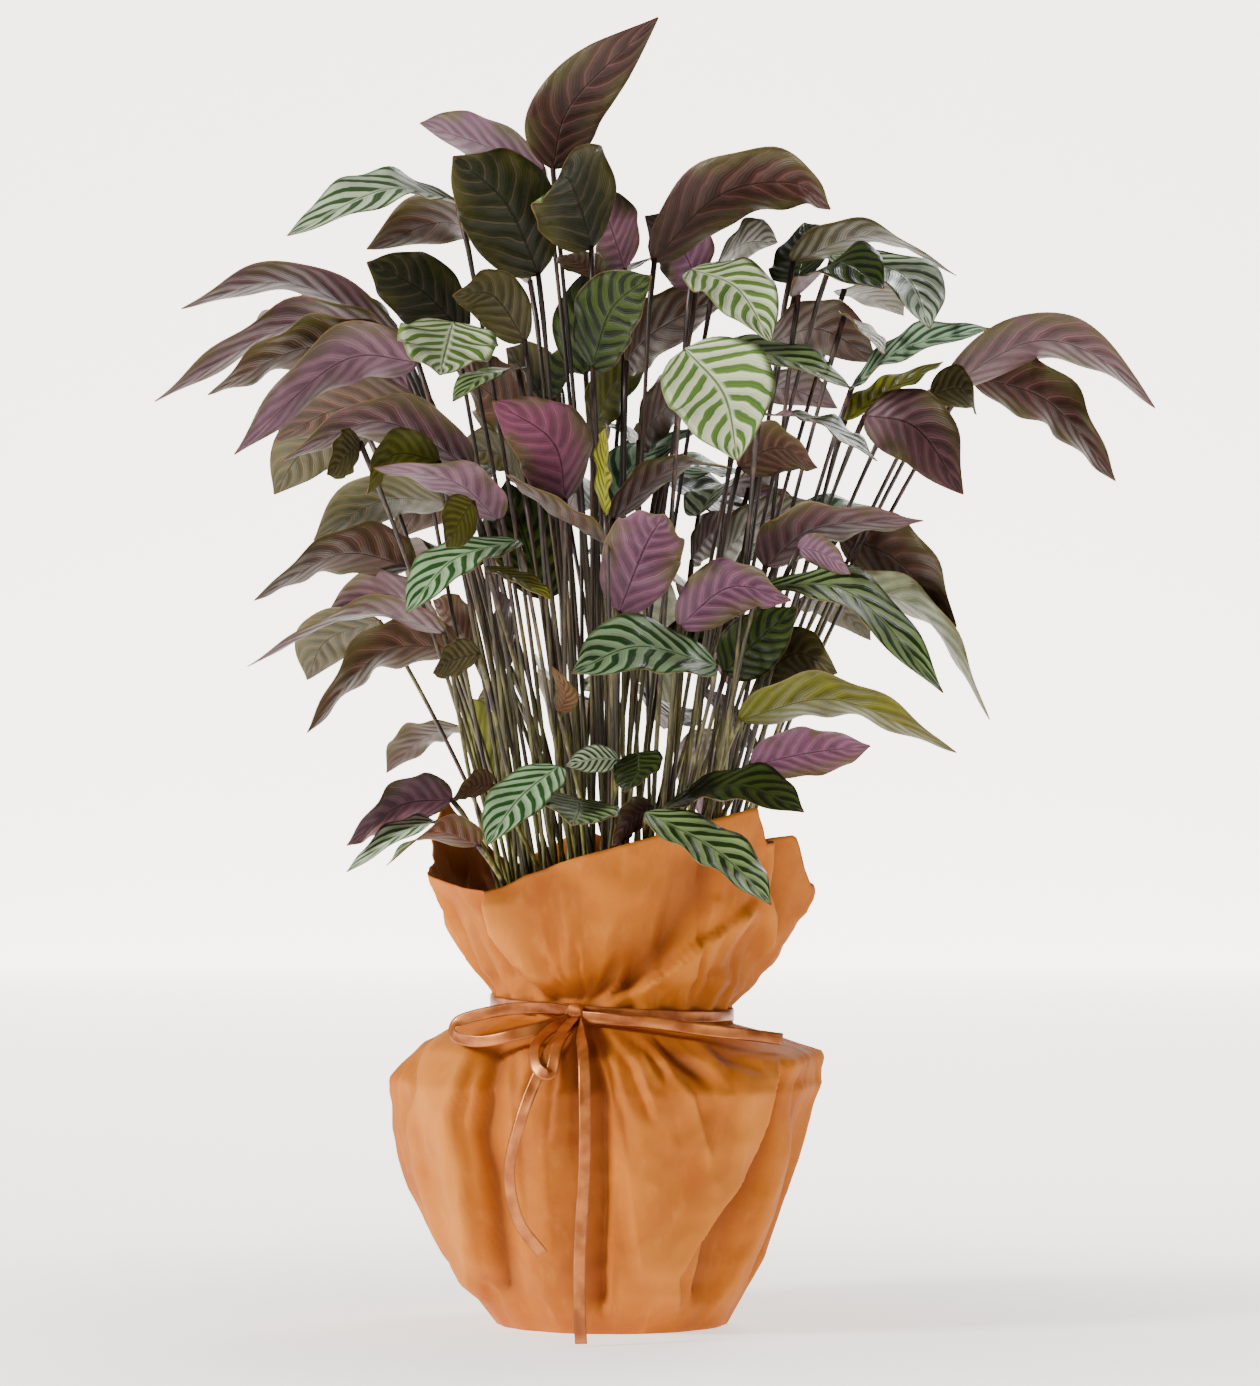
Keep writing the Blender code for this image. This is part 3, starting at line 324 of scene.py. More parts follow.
COLLAR = [
    (0, 32.4, 15.0), (18, 33.5, 14.6), (45, 36.0, 14.2), (72, 34.2, 13.4), (99, 36.8, 13.8),
    (126, 34.0, 13.2), (144, 37.6, 14.0), (153, 39.2, 14.0), (171, 34.8, 14.0), (189, 33.6, 13.6),
    (216, 32.6, 11.6), (225, 32.8, 12.6), (252, 35.0, 12.6), (279, 36.6, 12.6), (306, 38.2, 12.9),
    (324, 39.0, 13.3), (333, 36.2, 12.4), (346, 36.9, 14.1),
]
# Creases of the side that faces the viewer, seen from the front: their line as (across, up), how far they
# draw the paper in (outwards if negative), and how wide their slopes are to the left and to the right
FRONT_CREASES = [
    ([(-9.6, 22.6), (-11.5, 16.4), (-10.7, 12.8), (-10.1, 7.7), (-9.6, 1.5)], -0.9, 3.6, 0.5),
    ([(-8.8, 22.4), (-9.8, 15.2), (-9.2, 12.2), (-8.8, 6.9), (-8.4, 2.0)], 1.1, 0.6, 2.6),
    ([(-11.6, 22.4), (-13.7, 18.6), (-14.7, 14.9), (-14.3, 11.5), (-12.4, 5.5)], -0.5, 1.4, 2.2),
    ([(-14.6, 20.2), (-15.8, 14.5), (-14.3, 8.8), (-12.4, 3.5)], 0.5, 0.6, 1.2),
    ([(-7.4, 21.5), (-6.8, 14.5), (-6.1, 5.5)], 0.35, 0.5, 1.8),
    ([(-1.9, 23.1), (-0.4, 18.3), (-0.4, 10.7), (-0.7, 1.5)], 1.1, 4.4, 0.6),
    ([(0.2, 22.8), (1.0, 16.7), (1.2, 12.2), (2.2, 4.0)], -0.5, 0.9, 4.0),
    ([(2.6, 23.0), (4.6, 21.0), (6.4, 19.6), (7.4, 18.4)], 1.0, 1.0, 1.6),
    ([(3.0, 22.4), (4.6, 19.4), (5.6, 18.2), (6.2, 16.4), (6.8, 12.5)], -0.5, 1.6, 0.6),
    ([(6.8, 22.6), (8.9, 20.8), (11.2, 19.5)], 0.9, 1.0, 1.6),
    ([(12.1, 21.0), (10.6, 15.8), (8.9, 11.5), (5.9, 6.9), (4.4, 4.4), (4.6, 1.4)], -0.9, 4.0, 0.5),
    ([(12.6, 20.0), (11.6, 16.2), (10.0, 11.6), (7.4, 7.4), (6.0, 2.0)], 1.1, 0.6, 2.4),
    ([(13.2, 22.2), (12.7, 18.3), (12.3, 14.9), (11.6, 11.1), (10.4, 6.9), (6.9, 0.9)], -0.5, 0.6, 2.0),
    ([(14.2, 20.5), (13.7, 14.5), (12.4, 8.8), (10.1, 3.0)], 0.4, 0.5, 1.0),
    ([(-9.2, 33.4), (-8.3, 29.6), (-6.2, 26.6), (-4.0, 24.5)], -0.8, 0.35, 4.0),
    ([(-9.8, 33.0), (-8.9, 29.6), (-7.0, 26.6), (-4.9, 24.5)], 0.7, 2.6, 0.5),
    ([(11.4, 32.6), (8.5, 30.1), (5.9, 28.4), (2.9, 26.0), (0.2, 24.5)], -0.8, 0.7, 5.0),
    ([(8.2, 37.0), (6.4, 32.4), (4.6, 29.6), (1.9, 26.6), (-0.6, 24.5)], 1.0, 4.6, 1.6),
    ([(-3.6, 34.4), (-3.2, 29.6), (-2.8, 25.0)], -0.4, 2.4, 1.2),
    ([(-12.8, 33.0), (-12.0, 30.2), (-10.4, 26.6), (-8.6, 24.6)], 0.6, 1.0, 1.6),
    ([(10.4, 30.4), (8.8, 27.6), (5.0, 25.2)], 0.4, 1.0, 2.2),
    ([(11.4, 39.4), (11.2, 33.0), (11.5, 29.6), (10.8, 25.2)], -0.6, 0.5, 0.9),
    ([(12.3, 38.0), (12.3, 31.0), (11.8, 26.0)], 0.8, 0.5, 1.4),
    ([(-7.6, 27.6), (-5.4, 25.8), (-3.4, 24.4)], 0.5, 0.5, 1.2),
    ([(-5.0, 28.8), (-4.0, 26.4), (-3.0, 24.4)], 0.5, 1.0, 0.4),
    ([(-2.6, 29.6), (-2.5, 26.8), (-2.4, 24.4)], 0.5, 1.0, 0.4),
    ([(0.6, 28.8), (-0.6, 26.4), (-1.8, 24.4)], 0.6, 0.4, 1.2),
    ([(3.4, 27.4), (1.0, 25.8), (-1.2, 24.4)], 0.5, 0.4, 1.2),
    ([(-3.4, 23.3), (-5.4, 20.6), (-6.6, 17.0)], 0.5, 0.5, 1.2),
    ([(-3.0, 23.3), (-4.2, 19.6), (-4.8, 14.0)], 0.5, 1.2, 0.5),
    ([(-2.6, 23.3), (-2.8, 19.0), (-2.9, 13.0)], 0.4, 0.4, 1.0),
    ([(-1.4, 23.3), (1.4, 20.4), (3.0, 16.0)], 0.6, 1.2, 0.5),
    ([(-1.0, 23.3), (2.8, 21.2), (4.2, 18.6)], 0.6, 0.5, 1.2),
]
CREASE_END = 1.6
CREASE_PULL = 1.25

# Dents as (spot, size, depth), the edge of the front, and the faces at the back that the creases repeat on
# The dents add to the fold depth as well, so the paper is painted with shade in them
HOLLOWS = [((-2.5, 25.2), 1.1, 0.8), ((5.6, 20.9), 1.4, 0.6), ((9.2, 20.6), 1.3, 0.6)]
FRONT_EDGE = -0.15
BACK_FACES = [(45, 1), (135, -1)]
FACE_HALF = 45
FACE_FADE = 10

# Creases that leave the neck: how many and how long they are, at the skirt and at the collar, how deep they
# are at the front and at the back, how they differ, and their slant, which grows near the knot
SKIRT_GATHERS = (34, (5, 21))
COLLAR_GATHERS = (26, (3, 14))
SKIRT_GATHER_PULL = (0.4, 0.8)
COLLAR_GATHER_PULL = (0.6, 1.1)
GATHER_DEPTH = 1.4
GATHER_DEPTHS = (0.3, 0.9)
GATHER_WIDTHS = (2.5, 6.0)
GATHER_STRAY = 0.4
GATHER_TAIL = 0.6
GATHER_FADE = 1.5
GATHER_LEAST = 0.3
GATHER_SLANT = 0.35
KNOT_SLANT = 0.45
KNOT_SPREAD = 50

# Crumpling as (height, size, seed), how sharp its ridges are, how much the sides and the front's edge lack,
# how it fades at the bottom and at the neck, and the ragged edge
SKIRT_CRUMPLE = [(0.34, 6.5, 3), (0.1, 2.4, 9)]
COLLAR_CRUMPLE = [(0.42, 5.5, 5), (0.13, 2.2, 1)]
CRUMPLE_RIDGE = 2.6
CRUMPLE_LESS = 0.7
BOTTOM_FADE = 2.0
NECK_FADE = 1.5
EDGE_CRUMPLE = [(1.0, 3.0, 8)]
EDGE_HEIGHT = (0.06, 0.25)
EDGE_MOST = 0.1

# The wrap's mesh: columns, closer together at the front, rows, the shares that the skirt and neck take, and
# the small hole under the pot
WRAP_COLUMNS = 336
WRAP_ROWS = 120
FRONT_CROWDING = 0.45
BOTTOM_ROWS = 6
SKIRT_SHARE = 0.6
NECK_SHARE = 0.66
BOTTOM_HOLE = 0.04

# The ribbon in centimetres: its band, its strands, and the knot as its angle, height, back, size, pleats and
# waist
RIBBON_WIDTH = 0.9 * CM
RIBBON_THICKNESS = 0.04 * CM
BAND_RADIUS = 9.19
BAND_STEPS = 120
STRAP_COLUMNS = 6
STRAND_STEPS = 8
CUP_DEPTH = 0.05 * CM
CUP_LENGTH = 1.3 * CM
RIBBON_STRANDS = [
    [(-2.8, -9.6, 23.9), (-5.4, -10.4, 24.3), (-8.6, -9.9, 24.0), (-11.4, -9.4, 23.2), (-11.6, -10.2, 22.2),
     (-9.6, -12.0, 21.9), (-6.4, -12.8, 22.6), (-2.8, -9.7, 23.5)],
    [(-3.0, -9.6, 23.4), (-4.6, -12.6, 22.7), (-5.6, -15.1, 21.6), (-5.4, -16.6, 20.2), (-4.4, -16.8, 19.9),
     (-3.9, -15.3, 21.9), (-2.6, -9.7, 23.2)],
    [(-2.7, -9.7, 23.6), (-3.6, -12.9, 22.6), (-4.8, -16.0, 20.8), (-6.4, -16.9, 17.0), (-7.4, -16.7, 13.0),
     (-6.8, -16.4, 9.2), (-5.0, -16.2, 6.6)],
    [(-2.5, -9.7, 23.3), (-2.3, -13.2, 22.5), (-2.0, -16.4, 20.7), (-1.9, -17.4, 16.5), (-2.0, -17.5, 12.0),
     (-2.3, -17.4, 7.0), (-2.3, -17.3, 3.0), (-2.2, -17.2, 0.2)],
    [(-2.4, -9.7, 23.6), (0.4, -10.8, 23.4), (2.9, -11.0, 23.2), (5.1, -10.9, 22.9), (7.6, -11.0, 22.6),
     (10.4, -9.4, 22.2), (12.7, -7.6, 21.8)],
]
KNOT_ANGLE = 252
KNOT_HEIGHT = 23.9
KNOT_BACK = 9.16
KNOT_SIZE = (1.3, 1.9, 1.5)
KNOT_PLEAT = 0.16
KNOT_WAIST = 0.86

# Crumbs on the soil: how many, how far out and how high they lie, and how big they are in centimetres
CRUMBS = 260
CRUMB_REACH = 10.0
CRUMB_LIFT = 0.35
CRUMB_SIZES = (0.12, 0.34)
CRUMB_DENTS = (0.6, 1.1)

# The room: a floor and a wall behind it, as name, middle, tilt in degrees, size in metres and own glow, and
# how that glow grows from near the pot outwards and backwards, and ends at the sides; the weaker glow near
# the pot is a painted shadow round it
ROOM = [
    ("floor", (0, 0, 0), 0, (14.0, 14.0), 3.4),
    ("wall", (0, 6.0, 0.9), 90, (4.0, 3.4), 3.4),
]
GLOW_NEAR = 0.34
GLOW_OUT = (0.1, 1.0)
GLOW_BACK = (-0.2, 4.5)
GLOW_SIDES = (1.2, 2.4)
OUT_SHARE = 0.55
SKY = 0.14

# The camera, and the lamps as name, place, aim, size in metres and power in watts
CAMERA_ACROSS = 0.0136
CAMERA_LENS = 158.3
CAMERA_FAR = 50
LAMPS = [
    ("key", (-2.9, -1.5, 1.7), (0, 0, 0.4), 0.7, 180),
    ("fill", (2.6, -2.6, 1.5), (0, 0, 0.4), 1.2, 10),
    ("rim", (1.2, 2.2, 2.4), (0, 0, 0.6), 1.2, 66),
]


def linear(colour):
    """A display colour from 0 to 255 as the linear numbers that materials use."""
    shares = (value / 255 for value in colour)
    return tuple(c / 12.92 if c <= 0.04045 else ((c + 0.055) / 1.055) ** 2.4 for c in shares)


class Wire:
    """A socket in a material, so that node maths reads as plain expressions."""

    def __init__(self, tree, socket):
        self.tree = tree
        self.socket = socket

    def math(self, operation, *others, clamp=False):
        node = self.tree.nodes.new("ShaderNodeMath")
        node.operation = operation
        node.use_clamp = clamp
        for slot, value in zip(node.inputs, (self, *others)):
            if isinstance(value, Wire):
                self.tree.links.new(value.socket, slot)
            else:
                slot.default_value = value
        return Wire(self.tree, node.outputs[0])

    def __add__(self, other):
        return self.math("ADD", other)

    def __sub__(self, other):
        return self.math("SUBTRACT", other)

    def __mul__(self, other):
        return self.math("MULTIPLY", other)

    def __truediv__(self, other):
        return self.math("DIVIDE", other)

    def __pow__(self, other):
        return self.math("POWER", other)

    def __neg__(self):
        return self.math("MULTIPLY", -1.0)

    def __rsub__(self, other):
        return -self + other

    __radd__ = __add__
    __rmul__ = __mul__

    def beside(self, output):
        """Another output of the node that this one leaves."""
        return Wire(self.tree, self.socket.node.outputs[output])

    def step(self, low, high):
        """0 below low, 1 above high, and smooth between them."""
        share = ((self - low) / (high - low)).math("ADD", 0.0, clamp=True)
        return share * share * (3.0 - 2.0 * share)


class Finish:
    """A material that is built node by node."""

    def __init__(self, name, **sockets):
        self.material = bpy.data.materials.new(name)
        self.material.use_nodes = True
        self.tree = self.material.node_tree
        self.shader = self.tree.nodes["Principled BSDF"]
        for key, value in sockets.items():
            self.shader.inputs[key.replace("_", " ")].default_value = value

    def node(self, kind, settings=None, output=0, **sockets):
        """Adds a node: its settings, then values or links of its sockets, by name or as i and a number."""
        node = self.tree.nodes.new(kind)
        for key, value in (settings or {}).items():
            setattr(node, key, value)
        for key, value in sockets.items():
            slot = node.inputs[int(key[1:]) if key[1:].isdigit() else key.replace("_", " ")]
            if isinstance(value, Wire):
                self.tree.links.new(value.socket, slot)
            else:
                slot.default_value = value
        return Wire(self.tree, node.outputs[output])

    def noise(self, place, scale, detail=3.0, rough=0.5):
        return self.node("ShaderNodeTexNoise", Vector=place, Scale=scale, Detail=detail, Roughness=rough)

    def stretched(self, place, scale):
        return self.node("ShaderNodeMapping", Vector=place, Scale=scale)

    def place(self):
        return self.node("ShaderNodeTexCoord", output=3)

    def mix(self, factor, *colours):
        """Mixes two colours, each a wire or a display colour."""
        one, two = (c if isinstance(c, Wire) else (*linear(c), 1.0) for c in colours)
        return self.node("ShaderNodeMix", {"data_type": "RGBA"}, output=2, i0=factor, i6=one, i7=two)

    def put(self, socket, wire):
        self.tree.links.new(wire.socket, self.shader.inputs[socket])

    def bump(self, height, strength, distance):
        self.put("Normal", self.node("ShaderNodeBump", Height=height, Strength=strength, Distance=distance))


def leaf_finish():
    """Both faces of a blade: feather stripes above, quilted veins and an olive margin below, a thin rib."""
    leaf = Finish("leaf_blade", Roughness=0.4, Specular_IOR_Level=0.28)
    flat = leaf.node("ShaderNodeUVMap", {"uv_map": "blade"})
    split = leaf.node("ShaderNodeSeparateXYZ", Vector=flat)
    along = split.beside(1)
    across = (split * 2.0 - 1.0).math("ABSOLUTE")
    ground = leaf.node("ShaderNodeAttribute", {"attribute_name": "ground"})
    stripe = leaf.node("ShaderNodeAttribute", {"attribute_name": "stripe"})
    under = leaf.node("ShaderNodeAttribute", {"attribute_name": "under"}, output=2)
    drift = leaf.noise(leaf.place(), 45.0, 2.0)
    cloud = leaf.noise(leaf.place(), 30.0, 3.0)
    mottle = leaf.noise(leaf.place(), 110.0, 4.0, 0.6)
    phase = along * VEINS - across * VEIN_SLANT - across * across * 0.8 + (drift - 0.5) * 0.6
    wave = (phase * math.tau).math("SINE")
    veins = (phase * math.tau * 6.0).math("SINE")
    feather = (wave - across ** 3.0 * 0.7 - 0.02).step(-0.22, 0.32) * across.step(0.03, 0.12)
    margin = across.step(0.86, 0.98)
    above = (feather + margin * 0.8).math("MINIMUM", 1.0)
    below = feather * (1.0 - across * 0.6) * 0.6 + (cloud - 0.45) * 1.2
    pattern = above * (1.0 - under) + below * under + veins * 0.04
    colour = leaf.mix(pattern.math("ADD", 0.0, clamp=True), ground, stripe)
    olive = across.step(0.3, 0.95) * cloud.step(0.38, 0.56) * under * 0.8
    colour = leaf.mix(olive, colour, (72, 68, 26))
    lines = (-wave).step(0.88, 0.99) * under * (1.0 - margin) * 0.4
    colour = leaf.mix(lines, colour, leaf.mix(0.22, ground, (190, 140, 140)))
    colour = leaf.mix((mottle - 0.45).step(0.0, 0.4) * 0.25, colour, stripe)
    rib = 1.0 - across.step(0.01, 0.035)
    colour = leaf.mix(rib * 0.85, colour, leaf.mix(under * 0.6, stripe, (24, 12, 10)))
    rim = across.step(0.965, 0.99)
    colour = leaf.mix(rim * 0.5, colour, (132, 98, 58))
    tip = along.step(0.965, 0.995)
    colour = leaf.mix(tip * 0.8, colour, (110, 66, 28))
    leaf.put("Base Color", colour)
    leaf.put("Roughness", 0.34 + under * 0.1 + (mottle - 0.5) * 0.25)
    relief = wave * (1.0 - across * 0.5) * 0.5 + veins * 0.06 - rib * 0.7
    leaf.bump(relief, 0.5, 0.002)
    return leaf.material


def stalk_finish():
    """Stalks: near black and glossy above, olive and brown towards the sheath, with pale streaks."""
    stalk = Finish("leaf_stalk", Roughness=0.35)
    place = stalk.place()
    height = stalk.node("ShaderNodeSeparateXYZ", output=2, Vector=place)
    streak = stalk.noise(stalk.stretched(place, (260.0, 260.0, 9.0)), 1.0, 3.0)
    patch = stalk.noise(stalk.stretched(place, (60.0, 60.0, 6.0)), 1.0, 2.0)
    low = 1.0 - height.step(0.30, 0.62)
    dark = stalk.mix(streak.step(0.45, 0.75), (34, 20, 16), (92, 62, 48))
    olive = stalk.mix(streak.step(0.4, 0.7), (92, 86, 36), (156, 154, 80))
    colour = stalk.mix(low * patch.step(0.36, 0.56), dark, olive)
    stalk.put("Base Color", colour)
    stalk.put("Roughness", 0.3 + streak * 0.25)
    stalk.bump(streak, 0.3, 0.0004)
    return stalk.material


def paper_finish():
    """Crepe paper: orange brown, a fine crinkle along the folds with painted highlight and shade, painted
    shade in the folds' valleys and painted highlight on their ridges.
    """
    paper = Finish("wrap_paper", Roughness=0.72, Specular_IOR_Level=0.3)
    flat = paper.node("ShaderNodeUVMap", {"uv_map": "sheet"})
    crinkle = paper.noise(paper.stretched(flat, (60.0, 14.0, 1.0)), 1.0, 4.0, 0.6)
    cloud = paper.noise(paper.place(), 14.0, 4.0, 0.6)
    fibre = paper.noise(paper.place(), 420.0, 2.0)
    colour = paper.mix(cloud.step(0.3, 0.7), (166, 86, 8), (188, 106, 12))
    # Painted highlight on the crinkle's high spots and painted shade in its low ones
    colour = paper.mix(crinkle.step(0.5, 0.8) * 0.3, colour, (222, 142, 60))
    colour = paper.mix((1.0 - crinkle.step(0.2, 0.45)) * 0.25, colour, (144, 70, 18))
    # The fold depth: painted shade where the paper is drawn in, painted highlight where it stands out
    fold = paper.node("ShaderNodeAttribute", {"attribute_name": "fold"}, output=2)
    colour = paper.mix(fold.step(0.05, 1.5) * 0.65, colour, (110, 48, 8))
    colour = paper.mix((-fold).step(0.15, 0.9) * 0.35, colour, (220, 138, 48))
    paper.put("Base Color", colour)
    paper.put("Roughness", 0.62 + fibre * 0.25)
    paper.bump(crinkle + fibre * 0.1, 0.25, 0.0012)
    return paper.material


def satin_finish():
    """Copper satin: fine weft across the ribbon, a soft bright sheen, darker selvedges."""
    satin = Finish("ribbon_satin", Roughness=0.3, Metallic=0.5, Specular_IOR_Level=0.6)
    flat = satin.node("ShaderNodeUVMap", {"uv_map": "strap"})
    split = satin.node("ShaderNodeSeparateXYZ", Vector=flat)
    weft = (split * 5200.0).math("SINE")
    across = (split.beside(1) * 2.0 - 1.0).math("ABSOLUTE")
    cloud = satin.noise(satin.place(), 60.0, 3.0)
    colour = satin.mix(cloud.step(0.3, 0.7), (148, 76, 26), (194, 114, 50))
    colour = satin.mix(across.step(0.84, 0.94) * 0.5, colour, (104, 50, 20))
    satin.put("Base Color", colour)
    satin.put("Roughness", 0.24 + cloud * 0.16)
    satin.bump(weft, 0.15, 0.0002)
    return satin.material


def pot_finish():
    """Black moulded polypropylene with a faint grain and dusty scuffs."""
    pot = Finish("nursery_plastic", Roughness=0.5)
    grain = pot.noise(pot.place(), 600.0, 2.0)
    scuff = pot.noise(pot.place(), 35.0, 4.0)
    pot.put("Base Color", pot.mix(scuff.step(0.55, 0.75) * 0.5, (30, 30, 30), (84, 74, 64)))
    pot.put("Roughness", 0.42 + scuff * 0.3)
    pot.bump(grain, 0.2, 0.0003)
    return pot.material


def soil_finish():
    """Damp peat with pale flecks of perlite and bark."""
    soil = Finish("potting_soil", Roughness=0.95)
    clod = soil.noise(soil.place(), 170.0, 5.0, 0.7)
    fleck = soil.noise(soil.place(), 320.0, 1.0)
    colour = soil.mix(clod, (34, 24, 18), (92, 68, 48))
    colour = soil.mix(fleck.step(0.68, 0.72), colour, (206, 198, 184))
    soil.put("Base Color", colour)
    soil.bump(clod + fleck * 0.3, 0.9, 0.003)
    return soil.material


def select_only(*pieces):
    for old in bpy.context.selected_objects:
        old.select_set(False)
    for piece in pieces:
        piece.select_set(True)
    bpy.context.view_layer.objects.active = pieces[0]


def rename(name):
    piece = bpy.context.object
    piece.name = name
    piece.data.name = name
    return piece


def apply_modifier(piece, kind, **settings):
    select_only(piece)
    modifier = piece.modifiers.new(kind.lower(), kind)
    for key, value in settings.items():
        setattr(modifier, key, value)
    bpy.ops.object.modifier_apply(modifier=modifier.name)


def turn_outwards(piece):
    """Turns every face outwards."""
    select_only(piece)
    bpy.ops.object.mode_set(mode="EDIT")
    bpy.ops.mesh.select_all(action="SELECT")
    bpy.ops.mesh.normals_make_consistent(inside=False)
    bpy.ops.object.mode_set(mode="OBJECT")


def write_flat(piece, name=None, flats=()):
    """Replaces a piece's UV maps by one with a spot for each vertex, or by none."""
    for old in list(piece.data.uv_layers):
        piece.data.uv_layers.remove(old)
    if name:
        layer = piece.data.uv_layers.new(name=name)
        for loop in piece.data.loops:
            layer.data[loop.index].uv = flats[loop.vertex_index]


def mark(piece, name, values):
    """A number for each vertex, which the material reads."""
    piece.data.attributes.new(name, "FLOAT", "POINT").data.foreach_set("value", values)


def mark_colours(piece, name, colours):
    """A colour for each vertex, which the material reads."""
    attribute = piece.data.attributes.new(name, "FLOAT_COLOR", "POINT")
    attribute.data.foreach_set("color", [c for colour in colours for c in (*colour, 1.0)])


def vein_swell(across, along):
    """How far the side veins lift a flat blade."""
    wave = math.sin(math.tau * (along * VEINS - abs(across) * VEIN_SLANT))
    return VEIN_LIFT * wave * abs(across) ** 0.5 * (1 - abs(across))


def blade_half(along):
    """A blade's half width as a share of its widest: round at the foot, drawn to a drip tip."""
    if not 0 < along < 1:
        return 0.0
    half = math.sin(math.pi * along ** BLADE_FOOT) ** BLADE_SIDES
    drip = max(0.0, (along - DRIP_START) / (1 - DRIP_START))
    return half * (1 - DRIP_DRAW * drip * drip)


def make_master_blade():
    """One flat blade, a unit long and a unit to each side of its rib, with the swell of its side veins."""
    bpy.ops.mesh.primitive_grid_add(x_subdivisions=BLADE_COLUMNS, y_subdivisions=BLADE_ROWS, size=2)
    blade = rename("master_blade")
    for vertex in blade.data.vertices:
        across, along = vertex.co.x, (vertex.co.y + 1) / 2
        vertex.co = (across, along, vein_swell(across, along))
    apply_modifier(blade, "SOLIDIFY", thickness=BLADE_THICKNESS, offset=0.0)
    return blade


def make_master_stalk():
    """One round stalk, a unit high, cut into short lengths so that it can bend."""
    bpy.ops.mesh.primitive_cylinder_add(vertices=STALK_SIDES, radius=1, depth=1, location=(0, 0, 0.5))
    stalk = rename("master_stalk")
    bpy.ops.object.transform_apply(location=True)
    bpy.ops.object.mode_set(mode="EDIT")
    for k in range(1, STALK_ROWS):
        bpy.ops.mesh.select_all(action="SELECT")
        bpy.ops.mesh.bisect(plane_co=(0, 0, k / STALK_ROWS), plane_no=(0, 0, 1))
    bpy.ops.object.mode_set(mode="OBJECT")
    return stalk


def curve_point(points, share):
    """A smooth curve through the points, at a share from 0 to 1 of its run."""
    spans = len(points) - 1
    place = min(max(share, 0.0) * spans, spans - 1e-6)
    k = int(place)
    u = place - k
    before = points[k - 1] if k else 2 * points[0] - points[1]
    after = points[k + 2] if k + 2 < len(points) else 2 * points[-1] - points[-2]
    a, b = points[k], points[k + 1]
    return 0.5 * (2 * a + (b - before) * u + (2 * before - 5 * a + 4 * b - after) * u * u
                  + (3 * a - before - 3 * b + after) * u ** 3)


def seen_at(across, up, depth):
    """The place at a depth that covers a spot of the front view, all in centimetres."""
    share = (depth * CM - EYE.y) / -EYE.y
    return Vector((EYE.x + (across * CM - EYE.x) * share, depth * CM, EYE.z + (up * CM - EYE.z) * share))


def face_of(tone):
    return "top" if tone in TONES["top"] else "under"


def blade_facing(line, seen, face):
    """The blade's true width, and the direction that its upper face points in halfway along."""
    along = (curve_point(line, 0.6) - curve_point(line, 0.4)).normalized()
    length = sum((b - a).length for a, b in zip(line, line[1:]))
    width = max(seen * CM, min(TRUE_WIDTH_SHARE * length, TRUE_WIDTH_MOST * CM))
    chord = line[-1] - line[0]
    plane = Vector((-chord.z, 0, chord.x)).normalized()
    plane = (plane - along * plane.dot(along)).normalized()
    other = along.cross(plane)
    cosine = seen * CM / width
    sine = math.sqrt(1 - cosine * cosine)
    away = 1 if face == "under" else -1
    choices = [other * cosine * i + plane * sine * j for i, j in product((1, -1), repeat=2)]
    choices = [c for c in choices if c.y * away > -1e-6] or choices
    return width, max(choices, key=lambda c: c.z)


def set_leaf(leaf, move, pose):
    """A leaf's middle line, width and facing, moved in depth and then turned and scaled for its stem."""
    turn, reach, rise = pose
    spots, seen, tone, foot, tip = leaf
    last = len(spots) - 1
    depths = [foot + (tip - foot) * (k / last) ** DEPTH_BEND + move for k in range(len(spots))]
    line = [seen_at(*spot, depth) for spot, depth in zip(spots, depths)]
    width, facing = blade_facing(line, seen, face_of(tone))
    spin = Matrix.Rotation(math.radians(turn), 3, "Z")
    scale = Vector((reach, reach, rise))
    return [spin @ (p * scale) for p in line], width, spin @ facing


def stalk_point(root, reach, bow, share):
    """The middle of a stalk, which leaves its sheath upright and leans out more and more."""
    out = share ** STALK_BEND
    swell = math.sin(math.pi * share) * CM
    return root + Vector((reach.x * out + bow[0] * swell, reach.y * out + bow[1] * swell, reach.z * share))


def find_leaf(leaf, pose, middle, tree):
    """Where a leaf's solid lies: the move that its tip was given, and the bow of its stalk."""
    for move in DEPTH_MOVES:
        line, width, facing = set_leaf(leaf, move, pose)
        if tree.find(line[-1])[2] > TIP_MATCH:
            continue
        foot = Vector((line[0].x - middle.x, line[0].y - middle.y, 0)).normalized()
        root = Vector((middle.x, middle.y, SOIL_TOP + SHEATH_HEIGHT - STALK_SINK)) + foot * STALK_SPREAD
        reach = line[0] - root
        away = [sum(tree.find(stalk_point(root, reach, bow, k / 3))[2] for k in (1, 2)) for bow in STALK_BOWS]
        return line, width, facing, root, STALK_BOWS[away.index(min(away))]
    return None


def carried(points, facing, middle):
    """Directions along a run of points, and a facing carried both ways from the middle with no twist."""
    count = len(points)
    runs = [(points[min(k + 1, count - 1)] - points[max(k - 1, 0)]).normalized() for k in range(count)]
    ups = [None] * count
    ups[middle] = (facing - runs[middle] * facing.dot(runs[middle])).normalized()
    for k in range(middle + 1, count):
        ups[k] = runs[k - 1].rotation_difference(runs[k]) @ ups[k - 1]
    for k in reversed(range(middle)):
        ups[k] = runs[k + 1].rotation_difference(runs[k]) @ ups[k + 1]
    return runs, ups


def copy_of(master, name):
    piece = master.copy()
    piece.data = master.data.copy()
    piece.name = name
    bpy.context.scene.collection.objects.link(piece)
    return piece


